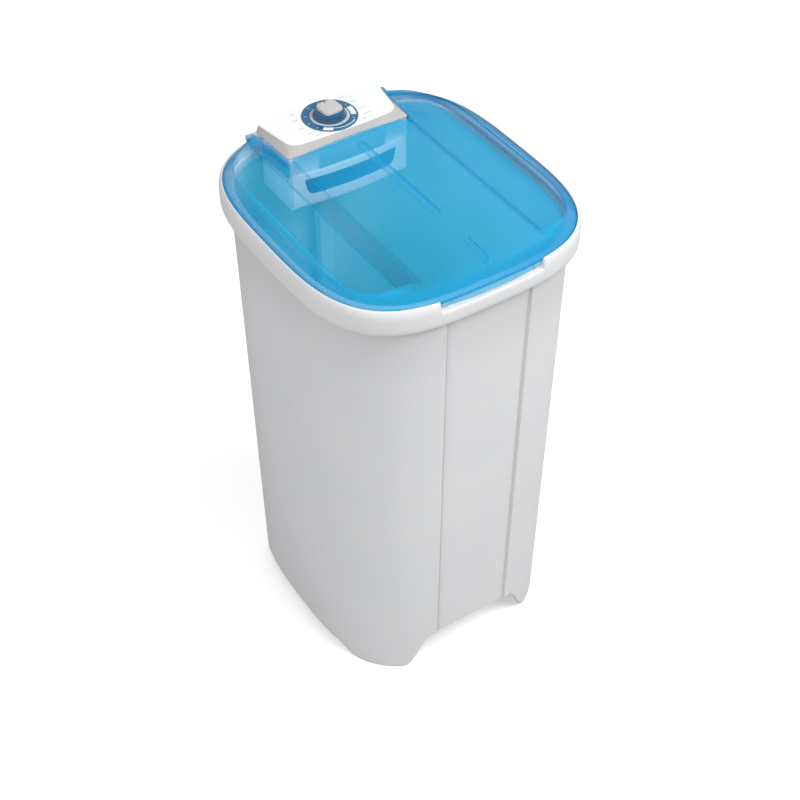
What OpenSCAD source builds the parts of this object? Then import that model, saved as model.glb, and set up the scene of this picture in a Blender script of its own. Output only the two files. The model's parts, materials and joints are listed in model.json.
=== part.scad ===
// Semi-automatic washing machine with one tub, a translucent lid and a
// small console at the back. Millimetres, +Z up, front towards -Y. The origin
// is on the floor, under the middle of the rim.

/* [Rim and cabinet] */
// Height of the top of the rim above the floor
rim_top = 860; // [830:1:900]
// Width of the rim, left to right
rim_w = 474; // [464:1:500]
// Depth of the rim, front to back
rim_d = 520; // [512:1:550]
// Height of the rim's outer band
rim_h = 43; // [38:1:48]
// Thickness of the rim moulding
rim_t = 3; // [2.4:0.1:3.2]
// Width of the rim from its outer face to the tub mouth
rim_span = 22; // [21:0.5:24]
// How far the lid's seat lies below the top of the rim
seat_drop = 6; // [5:0.5:7]
// Squareness of the rim's outline, higher is squarer
rim_power = 3.4; // [3.2:0.1:3.8]
// Squareness of the cabinet's outline
body_power = 3.1; // [3:0.1:3.2]
// How far the rim stands out past the cabinet at each side
overhang_side = 12; // [11:0.5:13]
// How far the rim stands out past the cabinet at front and back
overhang_front = 6; // [5.5:0.5:7]
// How far each cabinet wall leans in from the rim to the floor
draft_in = 9; // [4:1:12]
// Thickness of the cabinet wall
wall = 3.5; // [2.8:0.1:3.8]
// Width of the sunk panel down the front
recess_w = 152; // [120:1:160]
// Depth of the sunk panel down the front
recess_deep = 5; // [3:0.5:6]

/* [Feet and base] */
// Height of the arch between the front feet, and between the back feet
arch_h = 74; // [50:1:76]
// Half width of the level part of the front and back arch
arch_flat = 84; // [70:1:90]
// Half width of the front and back arch at the floor
arch_foot = 134; // [125:1:145]
// Height of the low arch at each side
side_arch_h = 17; // [10:1:24]
// Half length of the level part of the side arch
side_arch_flat = 120; // [100:1:130]
// Half length of the side arch at the floor
side_arch_foot = 165; // [150:1:175]
// Height of the underside of the bottom guard
guard_z = 79; // [78:1:80]
// Thickness of the bottom guard
guard_t = 3; // [2:0.5:3]
// Width of the ledge that the bottom guard is screwed to
guard_ledge = 12; // [9:1:16]

/* [Tub] */
// Height of the tub floor's upper face
tub_floor_z = 225; // [215:1:240]
// Thickness of the tub floor
tub_floor_t = 4; // [3:0.5:5]
// Radius of the washing disc
disc_r = 160; // [130:1:165]
// Number of vanes on the washing disc
vane_count = 6; // [4:1:8]

/* [Lid] */
// Thickness of the lid sheet
lid_t = 2.5; // [2:0.1:3]
// Gap between the lid's edge and the rim's lip
lid_gap = 0.4; // [0.3:0.1:0.8]
// Height of the lid's crest line above its edge
crest_h = 23; // [18:1:26]
// How far the lid's slope runs in at each side
slope_side = 26; // [20:1:30]
// How far the lid's slope runs in at the front
slope_front = 16; // [12:1:20]
// Rise of the middle plateau above the crest line, at its centre
crown_h = 10.5; // [6:0.5:12]
// Half width of the middle plateau
plateau_half = 106; // [96:1:108]
// Run of the ramp from the plateau down to each side wing
ramp_run = 22; // [16:1:26]
// Half width of the lid at the wings' outer wall
wing_half = 200; // [192:1:202]
// Distance of the wings' front and back ends from the middle
wing_end = 217; // [200:1:218]
// Width of the long groove in the plateau
groove_w = 12; // [8:1:14]
// Depth of the two grooves
groove_deep = 1; // [0.6:0.1:1.4]
// Half width of the lifting notch in the rim
notch_half = 92; // [70:1:100]
// Depth of the lifting notch below the top of the rim
notch_deep = 18; // [17:0.5:19]
// How far the lid's lifting tab stands forward of its edge
tab_out = 5; // [3:0.5:5]
// Height of the hinge axis above the rim's top
hinge_rise = 8.5; // [8.5:0.1:9]
// Radius of the lid's hinge pins
pin_r = 3; // [2.5:0.1:3.5]
// Radius of the lid's hinge ears
ear_r = 8; // [7:0.1:8]

/* [Console] */
// Width of the control panel at its front edge
panel_w_front = 222; // [212:1:222]
// Width of the control panel at its back edge
panel_w_back = 234; // [226:1:238]
// Depth of the control panel
panel_d = 103; // [102:0.5:103]
// Height of the control panel's lower edge above the rim's top
panel_rise = 21; // [20:1:24]
// Height of the control panel itself
panel_h = 13; // [12:1:16]
// Run of the control panel's bevel along its front
bevel_front = 10; // [8:0.5:11]
// Run of the control panel's bevel along its sides
bevel_side = 12; // [8:1:15]
// Run of the control panel's bevel at the back ends of its sides
bevel_rear = 3; // [2:0.5:8]
// Bow of the control panel's front edge
panel_bow = 3.5; // [2:0.5:3.5]
// Thickness of the panel and housing walls
shell_t = 2.5; // [2:0.1:3]
// Depth of the console housing below the rim's top
housing_drop = 79; // [76:1:90]
// Offset of the dial from the middle line
dial_x = -3; // [-20:1:10]
// Distance from the panel's front edge back to the dial
dial_back = 54; // [53.5:0.1:54.5]
// Radius of the dial ring
dial_r = 46; // [40:1:46]
// Radius of the knob
knob_r = 27.5; // [24:0.5:29]
// Height of the knob's round base
knob_base_h = 11; // [9:0.1:14]
// Width of the knob's square grip
grip_w = 38; // [34:1:44]
// Height of the knob's square grip
grip_h = 6; // [5:0.5:8]

/* [Drawer] */
// Height of the drawer
drawer_h = 61; // [50:1:61]
// Thickness of the drawer's walls
drawer_t = 2.5; // [2:0.1:3]
// Bow of the drawer's front
drawer_bow = 10; // [5:1:12]
// Half width of the finger slot at its top
slot_half = 86; // [70:1:90]
// Height of the finger slot
slot_h = 31; // [24:1:34]
// Depth of the finger cup behind the slot
cup_deep = 22; // [16:1:26]
// How far the drawer slides out
drawer_travel = 55; // [40:1:55]

/* [Drive] */
// Radius of the washing shaft
shaft_r = 7; // [6:0.5:8]
// Outer radius of the shaft's bushes
bush_r = 12; // [11:0.5:13]
// Outer radius of the bearing housing
bearing_r = 30; // [24:1:34]
// Radius of the driven pulley
driven_r = 90; // [84:1:92]
// Radius of the motor pulley
motor_pulley_r = 26; // [22:1:28]
// Depth of the belt grooves
groove_r = 8; // [7:0.5:9]
// Width of the belt
belt_w = 8; // [6:0.5:9]
// Height of the belt's middle plane
belt_z = 100; // [98:1:102]
// Distance between the washing shaft and the motor shaft
drive_gap = 130; // [124:1:136]
// Radius of the motor's can
motor_r = 62; // [54:1:64]
// Height of the motor's can
motor_h = 84; // [76:1:88]
// Radius of the motor's rotor
rotor_r = 35.6; // [30:0.1:40]
// Radius of the motor shaft
motor_shaft_r = 5; // [4:0.5:6]

/* [Drain and mains inlet] */
// Radius of the drain spigot that the hose goes over
spigot_r = 16; // [13:0.5:18]
// Height of the drain spigot and the cord inlet above the floor
outlet_z = 130; // [120:1:145]
// Distance of the drain from the middle line
drain_x = 70; // [60:1:80]
// Distance of the tub drain in front of the rim's back face
drain_back = 65; // [60:1:70]
// Radius of the strainer over the tub drain
strainer_r = 30; // [26:1:32]
// Radius of the bore that the mains cord passes through
cord_bore_r = 4.2; // [3.5:0.1:5]
// Distance of the cord inlet from the middle line
inlet_x = 70; // [60:1:90]

/* [Hidden] */
$fn = 64;

// Clearance between pieces that move past each other
move_gap = 0.3;
// Radial clearance of a shaft or pin that turns in its bore
run_fit = 0.05;
// Radial clearance of a piece that is fixed on a shaft
fixed_fit = 0.02;
// Gap that the weld fills round the tub floor's edge
weld_fit = 0.04;
// Overlap that makes a cut pass clean through a face
cut = 1;

// Outlines
outline_steps = 96;
front_steps = 16;

// Rim levels
seat_z = rim_top - seat_drop;
cab_top = seat_z - rim_t;
rim_low = rim_top - rim_h;
skirt_z = rim_top - 25;
notch_z = rim_top - notch_deep;
mouth_w = rim_w / 2 - rim_span;
mouth_d = rim_d / 2 - rim_span;

// Lid levels and outline
lip_inset = 5.6;
lid_inset = lip_inset + lid_gap;
lid_a = rim_w / 2 - lid_inset;
lid_b = rim_d / 2 - lid_inset;
lid_low = seat_z + move_gap;
lid_edge_z = lid_low + 2.7;
crest_z = lid_edge_z + crest_h;
wing_z = lid_edge_z + 3;
crown_z = crest_z + crown_h;
crown_side = 2;
crown_sag = crown_h - crown_side;
crown_r = (plateau_half * plateau_half + crown_sag * crown_sag) / (2 * crown_sag);
tab_low = rim_top - 12;

// Console levels and outline
panel_back = rim_d / 2 - 19;
panel_front = panel_back - panel_d;
panel_z = rim_top + panel_rise;
panel_top = panel_z + panel_h;
housing_z = rim_top - housing_drop;
housing_half = panel_w_front / 2 - 2;
housing_front = panel_front + 2;
housing_back = mouth_d - move_gap;
divider_z = rim_top - 12;
compartment_z = divider_z + 3;
bay_half = housing_half - shell_t;
bay_low = housing_z + 3;
bay_back = 222 + (rim_d - 520) / 2;
dial_y = panel_front + dial_back;

// Hinge
hinge_y = rim_d / 2 - 22;
hinge_z = rim_top + hinge_rise;
ear_x = panel_w_back / 2 + 4;
ear_t = 8;
knuckle_end = panel_w_back / 2 + 1;

// Drawer
drawer_top = divider_z - 2;
drawer_low = drawer_top - drawer_h;
drawer_half = bay_half - 3.5;
front_half = bay_half - move_gap;
drawer_back = bay_back - 2;
slot_low = drawer_low + 19;
runner_z = drawer_low + 27;
runner_h = 4;
runner_front = housing_front + 6;

// Drive levels
floor_low = tub_floor_z - tub_floor_t;
flange_t = 10;
bearing_low = 140;
neck_r = 17.5;
neck_top = tub_floor_z + 3;
seal_r = 14;
bolt_circle = 45;
bolt_r = 3;
bolt_hole_r = 3.1;
bolt_head_h = 2.5;
shaft_low = 84;
disc_low = tub_floor_z + 7;
hub_top = disc_low + 20;
shaft_top = hub_top - 0.3;
washer_t = 3;
washer_low = bearing_low - move_gap - washer_t;
nut_h = 5.5;
motor_x = 0;
motor_y = -drive_gap;
motor_top = floor_low - 15;
motor_low = motor_top - motor_h;
bracket_t = 4;
mount_pitch = 60;
belt_t = 6;
belt_gap = 0.4;
wire_r = 4.5;
wire_y = bay_back + 8;

// Drain and inlet
drain_y = rim_d / 2 - drain_back;
pad_back = 247 + (rim_d - 520) / 2;
pad_front = pad_back - 11;
tube_t = 3;

// Half width and half depth of the cabinet's outer face at height z
function half_w(z) = rim_w / 2 - overhang_side - draft_in * (1 - z / rim_top);
function half_d(z) = rim_d / 2 - overhang_front - draft_in * (1 - z / rim_top);

// Point of a rounded rectangle at angle t
function sgn(v) = v < 0 ? -1 : 1;
function round_pt(a, b, n, t) = [
    a * sgn(cos(t)) * pow(abs(cos(t)), 2 / n),
    b * sgn(sin(t)) * pow(abs(sin(t)), 2 / n)
];
function outline(a, b, n) = [
    for (i = [0:outline_steps - 1]) round_pt(a, b, n, 360 * (i + 0.5) / outline_steps)
];
// Half depth of such an outline at a distance x from the middle
function depth_at(a, b, n, x) = b * pow(1 - pow(abs(x) / a, n), 1 / n);

// Cabinet outline with the sunk panel at the front
function cab_outline(a, b, n, rh, rd) = let (t0 = acos(pow(rh / a, n / 2))) concat(
    [for (i = [0:outline_steps - 1])
        round_pt(a, b, n, -t0 + i * (180 + 2 * t0) / (outline_steps - 1))],
    [for (i = [0:front_steps]) let (x = rh * (2 * i / front_steps - 1))
        [x, rd - depth_at(a, b, n, x)]]
);
function recess_half(z) = recess_w / 2 * half_w(z) / half_w(rim_top);

// Leaning prism between two heights, inset from the cabinet's outer face
module cab_prism(z1, z2, inset) {
    a1 = half_w(z1) - inset;
    b1 = half_d(z1) - inset;
    a2 = half_w(z2) - inset;
    b2 = half_d(z2) - inset;
    translate([0, 0, z1])
        linear_extrude(height = z2 - z1, scale = [a2 / a1, b2 / b1], slices = 1)
            polygon(cab_outline(a1, b1, body_power, recess_half(z1) + inset, recess_deep));
}

// Upright prism of the rim's outline, inset from the rim's outer face
module rim_prism(z1, z2, inset) {
    translate([0, 0, z1])
        linear_extrude(height = z2 - z1)
            polygon(outline(rim_w / 2 - inset, rim_d / 2 - inset, rim_power));
}

// Solid swept round the rim's outline from a section of [inset, height] points
module rim_sweep(section) {
    m = len(section);
    k = outline_steps;
    pts = [for (s = section) for (p = outline(rim_w / 2 - s[0], rim_d / 2 - s[0], rim_power))
        [p[0], p[1], s[1]]];
    faces = [for (j = [0:m - 1]) for (i = [0:k - 1])
        let (a = j * k + i, b = j * k + (i + 1) % k)
        let (d = ((j + 1) % m) * k + i, c = ((j + 1) % m) * k + (i + 1) % k)
        each [[a, d, c], [a, c, b]]];
    polyhedron(points = pts, faces = faces, convexity = 6);
}

// Curve of an arch: level at the top, easing down to the floor
function ease(u) = (1 - cos(180 * u)) / 2;
function arch_curve(h, flat, foot, low) = concat(
    [[-foot, -low]],
    [for (i = [0:12]) [-foot + (foot - flat) * i / 12, h * ease(i / 12)]],
    [for (i = [0:12]) [flat + (foot - flat) * i / 12, h * ease(1 - i / 12)]],
    [[foot, -low]]
);

// Screw along +Z: the head's seat at z = 0, head upward, shank downward
module screw(shank_r, shank_l, head_r, head_h) {
    translate([0, 0, -shank_l])
        cylinder(r = shank_r, h = shank_l);
    difference() {
        cylinder(r = head_r, h = head_h);
        translate([0, 0, head_h - 0.8])
            cube([head_r * 1.2, head_r * 0.3, 2], center = true);
    }
}

// Straight round run along one axis
module run_z(x, y, z1, z2, r) {
    translate([x, y, z1])
        cylinder(r = r, h = z2 - z1);
}
module run_y(x, y1, y2, z, r) {
    translate([x, y1, z])
        rotate([-90, 0, 0])
            cylinder(r = r, h = y2 - y1);
}
module run_x(x1, x2, y, z, r) {
    translate([x1, y, z])
        rotate([0, 90, 0])
            cylinder(r = r, h = x2 - x1);
}
module ring(r_out, r_in, z1, z2) {
    difference() {
        run_z(0, 0, z1, z2, r_out);
        run_z(0, 0, z1 - cut, z2 + cut, r_in);
    }
}

// Places of the screws that hold the rim on the cabinet
rim_screw_y = 120;
rim_screw_x = 135;
function side_screw_x(y) = let (a = half_w(cab_top), b = half_d(cab_top))
    a * pow(1 - pow(abs(y) / b, body_power), 1 / body_power) - wall / 2;
function front_screw_y(x) =
    depth_at(half_w(cab_top), half_d(cab_top), body_power, x) - wall / 2;
rim_screw_places = [
    for (s = [-1, 1]) for (t = [-1, 1]) each [
        [s * side_screw_x(rim_screw_y), t * rim_screw_y],
        [s * rim_screw_x, t * front_screw_y(rim_screw_x)]
    ]
];
rim_boss_r = 3.8;
rim_screw_r = 1.8;
rim_screw_l = 14;
guard_places = [for (i = [0:3]) round_pt(
    half_w(guard_z) - wall - guard_ledge / 2,
    half_d(guard_z) - wall - guard_ledge / 2, body_power, 90 * i + 45)];
motor_places = [for (s = [-1, 1]) for (t = [-1, 1])
    [motor_x + s * mount_pitch, motor_y + t * mount_pitch]];
bearing_places = [for (i = [0:3]) [bolt_circle * cos(90 * i + 45), bolt_circle * sin(90 * i + 45)]];

// The cabinet: outer walls, feet and skirt in one moulding
guard_top = guard_z + guard_t;
guard_rib_t = 4;
module cabinet() color([0.86, 0.86, 0.87]) difference() {
    union() {
        difference() {
            cab_prism(0, cab_top, 0);
            cab_prism(-cut, cab_top + cut, wall);
        }
        difference() {
            cab_prism(guard_top, guard_top + guard_rib_t, wall - 0.5);
            cab_prism(guard_top - cut, guard_top + guard_rib_t + cut, wall + guard_ledge);
        }
        for (p = rim_screw_places)
            run_z(p[0], p[1], cab_top - 22, cab_top, rim_boss_r);
        run_y(drain_x, pad_front, pad_back, outlet_z, spigot_r + 11);
        run_y(-inlet_x, pad_front, pad_back, outlet_z, cord_bore_r + 12);
    }
    translate([0, rim_d / 2 + cut, 0])
        rotate([90, 0, 0])
            linear_extrude(height = rim_d + 2 * cut)
                polygon(arch_curve(arch_h, arch_flat, arch_foot, cut));
    rotate([90, 0, 90])
        translate([0, 0, -rim_w / 2 - cut])
            linear_extrude(height = rim_w + 2 * cut)
                polygon(arch_curve(side_arch_h, side_arch_flat, side_arch_foot, cut));
    translate([-notch_half - 4.5, -rim_d, notch_z - 3 - move_gap])
        cube([2 * notch_half + 9, rim_d / 2 + 40, 40]);
    for (p = rim_screw_places)
        run_z(p[0], p[1], cab_top - 16, cab_top + cut, rim_screw_r);
    for (p = guard_places)
        run_z(p[0], p[1], guard_top - cut, guard_top + guard_rib_t + cut, guard_screw_r + run_fit);
    run_y(drain_x, pad_front - cut, pad_back + cut, outlet_z, spigot_r + 0.2);
    run_y(-inlet_x, pad_front - cut, pad_back + cut, outlet_z, cord_bore_r + 4.2);
}

// The tub's floor pan, welded to the cabinet's walls all round
module tub_floor() color([0.86, 0.86, 0.87]) difference() {
    intersection() {
        cab_prism(-cut, cab_top + cut, wall + weld_fit);
        translate([-rim_w / 2, -rim_d / 2, floor_low])
            cube([rim_w, rim_d, tub_floor_z - floor_low]);
    }
    for (p = motor_places)
        run_z(p[0], p[1], floor_low - cut, tub_floor_z + cut, bolt_hole_r);
    for (p = bearing_places)
        run_z(p[0], p[1], floor_low - cut, tub_floor_z + cut, bolt_hole_r);
    run_z(0, 0, floor_low - cut, tub_floor_z + cut, neck_r + 0.2);
    run_z(drain_x, drain_y, floor_low - cut, tub_floor_z + cut, drain_neck_r + 0.2);
    run_z(0, wire_y, floor_low - cut, tub_floor_z + cut, wire_r + 0.5);
}

// The rim: rounded band, lid seat and inner skirt, with the lifting notch
module rim_block(z1, z2, inset, deep) {
    intersection() {
        rim_prism(z1, z2, inset);
        translate([-notch_half - 4, -rim_d, z1 - cut])
            cube([2 * notch_half + 8, rim_d / 2 + deep, z2 - z1 + 2 * cut]);
    }
}
module notch_cut() {
    steps = 20;
    back = [for (i = [0:steps]) let (x = notch_half * (2 * i / steps - 1))
        [x, 3.6 - depth_at(lid_a, lid_b, rim_power, x)]];
    translate([0, 0, notch_z])
        linear_extrude(height = notch_deep + cut)
            polygon(concat([[notch_half, -rim_d / 2 - cut]], [[-notch_half, -rim_d / 2 - cut]], back));
}
module top_rim() color([0.95, 0.95, 0.95]) difference() {
    union() {
        rim_sweep([
            [2, rim_low], [0.6, rim_low + 5], [0, rim_low + 15], [0, rim_top - 14],
            [0.8, rim_top - 7], [2.2, rim_top - 2.5], [3.4, rim_top - 0.5], [4.4, rim_top],
            [lip_inset - 0.3, rim_top - 0.2], [lip_inset, rim_top - 1], [lip_inset, seat_z],
            [rim_span, seat_z], [rim_span, skirt_z], [rim_span - rim_t, skirt_z],
            [rim_span - rim_t, cab_top], [rim_t + 2, cab_top], [rim_t + 0.4, rim_top - 14],
            [rim_t, rim_low + 15], [rim_t + 0.2, rim_low]
        ]);
        rim_block(notch_z - 3, seat_z, 1, rim_span - 1);
    }
    notch_cut();
    for (p = rim_screw_places) {
        run_z(p[0], p[1], cab_top - cut, seat_z + cut, rim_screw_r + 0.2);
        run_z(p[0], p[1], seat_z - 1.8, seat_z + cut, rim_screw_r + 1.9);
    }
    for (s = [-1, 1])
        run_z(s * housing_screw_x, housing_screw_y, cab_top - cut, seat_z + cut, 1.6);
}
module rim_screws() color([0.75, 0.75, 0.76]) {
    for (p = rim_screw_places)
        translate([p[0], p[1], seat_z - 1.8])
            screw(rim_screw_r, rim_screw_l, rim_screw_r + 1.7, 1.6);
}

// Outline of the console at the control panel's lower edge, grown by g
bow_steps = 12;
function console_line(side, front, rear) = concat(
    [for (i = [0:bow_steps]) let (u = 2 * i / bow_steps - 1)
        [u * (panel_w_front / 2 - side), panel_front + front - panel_bow * (1 - u * u)]],
    [[panel_w_back / 2 - rear, panel_back], [panel_w_back / 2 - rear, panel_back + 30],
        [rear - panel_w_back / 2, panel_back + 30], [rear - panel_w_back / 2, panel_back]]
);
function console_outline(g) = console_line(-g, -g, -g);
module console_prism(z1, z2, g, back) {
    intersection() {
        translate([0, 0, z1])
            linear_extrude(height = z2 - z1)
                polygon(console_outline(g));
        rim_prism(z1 - cut, z2 + cut, back);
    }
}

// The console housing: drawer bay below, timer compartment above
ridge_w = 28;
housing_screw_x = 60;
housing_screw_r = 1.5;
housing_screw_l = 12;
housing_screw_head = 3.4;
housing_screw_y = rim_d / 2 - 14;
module housing_body(half, front, back, z1, z2) {
    intersection() {
        translate([-half, front, z1])
            cube([2 * half, back - front, z2 - z1]);
        rim_prism(z1 - cut, z2 + cut, rim_d / 2 - back);
    }
}
module console_housing() color([0.86, 0.92, 0.97]) difference() {
    union() {
        housing_body(housing_half, housing_front, housing_back, housing_z, panel_z);
        intersection() {
            rim_prism(seat_z, seat_z + 3, lid_inset + 1);
            translate([-housing_half, housing_back - 12, seat_z])
                cube([2 * housing_half, 40, 3]);
        }
        translate([-ridge_w / 2, housing_front - 2, divider_z + 5])
            cube([ridge_w, 3, 5]);
        for (s = [-1, 1]) {
            run_x(s > 0 ? housing_half - 12 : -knuckle_end, s > 0 ? knuckle_end : 12 - housing_half,
                hinge_y, hinge_z, ear_r);
            translate([s > 0 ? housing_half - 12 : -knuckle_end, hinge_y - 16, hinge_z - ear_r])
                cube([knuckle_end - housing_half + 12, 16, 2 * ear_r]);
        }
    }
    translate([-bay_half, housing_front - cut, bay_low])
        cube([2 * bay_half, bay_back - housing_front + cut, divider_z - bay_low]);
    translate([-40, bay_back + shell_t, bay_low])
        cube([80, housing_back - bay_back - 2 * shell_t, divider_z - bay_low]);
    difference() {
        housing_body(bay_half, housing_front + shell_t, housing_back - shell_t,
            compartment_z, panel_z + cut);
        for (p = panel_places)
            run_z(p[0], p[1], compartment_z - cut, panel_z, 6);
    }
    for (p = panel_places) {
        run_z(p[0], p[1], divider_z - cut, panel_z - 4, 3.6);
        run_z(p[0], p[1], panel_z - 5, panel_z + cut, 1.7);
    }
    run_z(0, wire_y, housing_z - cut, compartment_z + cut, wire_r + 0.3);
    for (s = [-1, 1]) {
        run_z(s * housing_screw_x, housing_screw_y, seat_z - cut, seat_z + 3 + cut, 1.8);
        run_x(s > 0 ? knuckle_end - 16 : -knuckle_end - cut, s > 0 ? knuckle_end + cut : 16 - knuckle_end,
            hinge_y, hinge_z, pin_r + fixed_fit);
    }
}
module housing_screws() color([0.75, 0.75, 0.76]) {
    for (s = [-1, 1])
        translate([s * housing_screw_x, housing_screw_y, seat_z + 3])
            screw(housing_screw_r, housing_screw_l, housing_screw_head, 2);
}

// The control panel: white top with a grey bevelled edge
panel_places = [for (s = [-1, 1]) for (t = [0, 1])
    [s * (housing_half - 15), t > 0 ? housing_back - 24 : housing_front + 12]];
panel_corner = 22;
module panel_form(e) {
    hull() {
        console_prism(panel_z - (e > 0 ? 1 : 0), panel_z + 0.5, -e, 19 + e);
        intersection() {
            translate([0, 0, panel_top - e - 0.5])
                linear_extrude(height = 0.5)
                    offset(r = panel_corner)
                        offset(delta = -panel_corner - e)
                            polygon(console_line(bevel_side, bevel_front, bevel_rear));
            rim_prism(panel_top - e - cut, panel_top + cut, 21 + e);
        }
    }
}
module control_panel() color([0.94, 0.94, 0.93]) difference() {
    union() {
        difference() {
            panel_form(0);
            panel_form(shell_t);
        }
        intersection() {
            union() for (p = panel_places)
                run_z(p[0], p[1], panel_z, panel_top, 4.5);
            panel_form(shell_t / 2);
        }
    }
    for (p = panel_places)
        run_z(p[0], p[1], panel_z - cut, panel_z + 8, 1.5);
    run_z(dial_x, dial_y, panel_z, panel_top + cut, timer_neck_r + 0.2);
}
module panel_screws() color([0.75, 0.75, 0.76]) {
    for (p = panel_places)
        translate([p[0], p[1], panel_z - 4])
            mirror([0, 0, 1])
                screw(1.45, 11, 3.2, 2);
}

// Dial ring, grey inlay, timer and knob
timer_neck_r = 5;
timer_r = 25;
ring_t = 0.8;
inlay_r = knob_r + 4.5;
module dial_ring() color([0, 0.3, 0.5])
    translate([dial_x, dial_y, 0])
        ring(dial_r, inlay_r + fixed_fit, panel_top, panel_top + ring_t);
module dial_inlay() color([0.75, 0.73, 0.71])
    translate([dial_x, dial_y, 0])
        ring(inlay_r, knob_r - 8, panel_top, panel_top + ring_t);
timer_top = panel_top - 10;
timer_low = compartment_z + 4;
module timer_body() color([0.25, 0.25, 0.27])
    translate([dial_x, dial_y, 0])
        difference() {
            union() {
                run_z(0, 0, timer_low, timer_top, timer_r);
                run_z(0, 0, timer_top, panel_top - shell_t, timer_neck_r + 4);
                run_z(0, 0, timer_top, panel_top + 4, timer_neck_r);
                run_y(0, 0, timer_r + 4, timer_low + 8, 4);
            }
            run_z(0, 0, timer_low + 6, panel_top + 4 + cut, timer_shaft_r + run_fit);
        }
timer_shaft_r = 3;
module timer_nut() color([0.75, 0.75, 0.76])
    translate([dial_x, dial_y, 0])
        difference() {
            translate([0, 0, panel_top])
                cylinder(r = timer_neck_r + 4, h = 3, $fn = 6);
            run_z(0, 0, panel_top - cut, panel_top + 3 + cut, timer_neck_r + fixed_fit);
        }
knob_low = panel_top + ring_t + 0.5;
knob_mid = knob_low + knob_base_h;
module knob_base() color([0, 0.27, 0.45])
    translate([dial_x, dial_y, 0])
        difference() {
            rotate_extrude($fn = 96)
                polygon([[0, knob_low], [knob_r, knob_low], [knob_r, knob_low + 1],
                    [knob_r - 2.5, knob_mid - 1], [knob_r - 3.5, knob_mid], [0, knob_mid]]);
            run_z(0, 0, knob_low - cut, knob_low + 4, timer_neck_r + 6);
            run_z(0, 0, knob_low, knob_mid + cut, timer_shaft_r + fixed_fit);
        }
grip_turn = 4;
module knob_grip() color([0.78, 0.77, 0.76])
    translate([dial_x, dial_y, 0])
        difference() {
            translate([0, 0, knob_mid])
                linear_extrude(height = grip_h)
                    rotate([0, 0, grip_turn])
                        polygon(outline(grip_w / 2, grip_w / 2, 4));
            rotate([0, 0, grip_turn])
                translate([-1.2, grip_w / 2 - 7, knob_mid + grip_h - 0.8])
                    cube([2.4, 8, 2]);
            run_z(0, 0, knob_mid - cut, knob_mid + grip_h - 2, timer_shaft_r + fixed_fit);
        }
module timer_shaft() color([0.7, 0.7, 0.72])
    run_z(dial_x, dial_y, timer_low + 6.5, knob_mid + grip_h - 2.2, timer_shaft_r);

// The lid: sloping edge, low side wings and a domed plateau in between
ramp_slope = ramp_run / (crest_z - wing_z);
module stack(rings) {
    k = outline_steps;
    m = len(rings);
    pts = [for (r = rings) for (p = outline(r[0], r[1], rim_power)) [p[0], p[1], r[2]]];
    sides = [for (j = [0:m - 2]) for (i = [0:k - 1])
        let (a = j * k + i, b = j * k + (i + 1) % k, d = a + k, c = b + k)
        each [[a, d, c], [a, c, b]]];
    low = [[for (i = [0:k - 1]) i]];
    high = [[for (i = [0:k - 1]) m * k - 1 - i]];
    polyhedron(points = pts, faces = concat(sides, low, high), convexity = 4);
}
module lid_mound(e) {
    h = crest_h + crown_h + 2;
    a = lid_a - 1.3 * e;
    b = lid_b - 1.3 * e;
    stack([
        [a, b, lid_low - (e > 0 ? cut : 0)],
        [a, b, lid_edge_z],
        [a - slope_side * h / crest_h, b - slope_front * h / crest_h, lid_edge_z + h]
    ]);
}
// Leaf-shaped hollow of one wing, grown by e: straight along the ramp's foot,
// and curved along the lid's edge
wing_power = 6;
wing_lean = 3;
function leaf(a, b, x0) = let (t0 = acos(pow(x0 / a, wing_power / 2)))
    [for (i = [0:36]) round_pt(a, b, wing_power, t0 * (i / 18 - 1))];
module wing(e) {
    top = crown_z + 10;
    inner = plateau_half + ramp_run - e;
    foot = [wing_half - wing_lean + e, wing_end - wing_lean + e];
    hull() {
        translate([0, 0, wing_z - e])
            linear_extrude(height = 0.01)
                polygon(leaf(foot[0], foot[1], inner));
        translate([0, 0, top])
            linear_extrude(height = 0.01)
                polygon(leaf(foot[0] + wing_lean, foot[1] + wing_lean,
                    inner - ramp_slope * (top - wing_z + e)));
    }
}
module crown_cylinder(e) {
    translate([0, rim_d / 2, crown_z - crown_r])
        rotate([90, 0, 0])
            cylinder(r = crown_r - e, h = rim_d, $fn = 360);
}
module lid_form(e) difference() {
    intersection() {
        lid_mound(e);
        union() {
            translate([-rim_w / 2, -rim_d / 2, lid_low - 2 * cut])
                cube([rim_w, rim_d, crest_z - e - lid_low + 2 * cut]);
            intersection() {
                crown_cylinder(e);
                translate([e - plateau_half, -rim_d / 2, lid_low])
                    cube([2 * plateau_half - 2 * e, rim_d, crest_h + crown_h + 10]);
            }
        }
    }
    wing(e);
    mirror([1, 0, 0])
        wing(e);
}
module slot_shape(y1, y2, w) {
    translate([0, y1 + w / 2])
        circle(r = w / 2);
    translate([0, y2 - w / 2])
        circle(r = w / 2);
    translate([-w / 2, y1 + w / 2])
        square([w, y2 - y1 - w]);
}
module tab_form() {
    steps = 20;
    span = [for (i = [0:steps]) notch_half * 0.98 * (2 * i / steps - 1)];
    out = [for (x = span) [x, -depth_at(lid_a, lid_b, rim_power, x)
        - tab_out * (1 - pow(x / notch_half, 2))]];
    back = [for (i = [0:steps]) let (x = span[steps - i])
        [x, lid_t + 0.5 - depth_at(lid_a, lid_b, rim_power, x)]];
    translate([0, 0, tab_low])
        linear_extrude(height = lid_edge_z - 0.2 - tab_low)
            polygon(concat(out, back));
}
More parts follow.
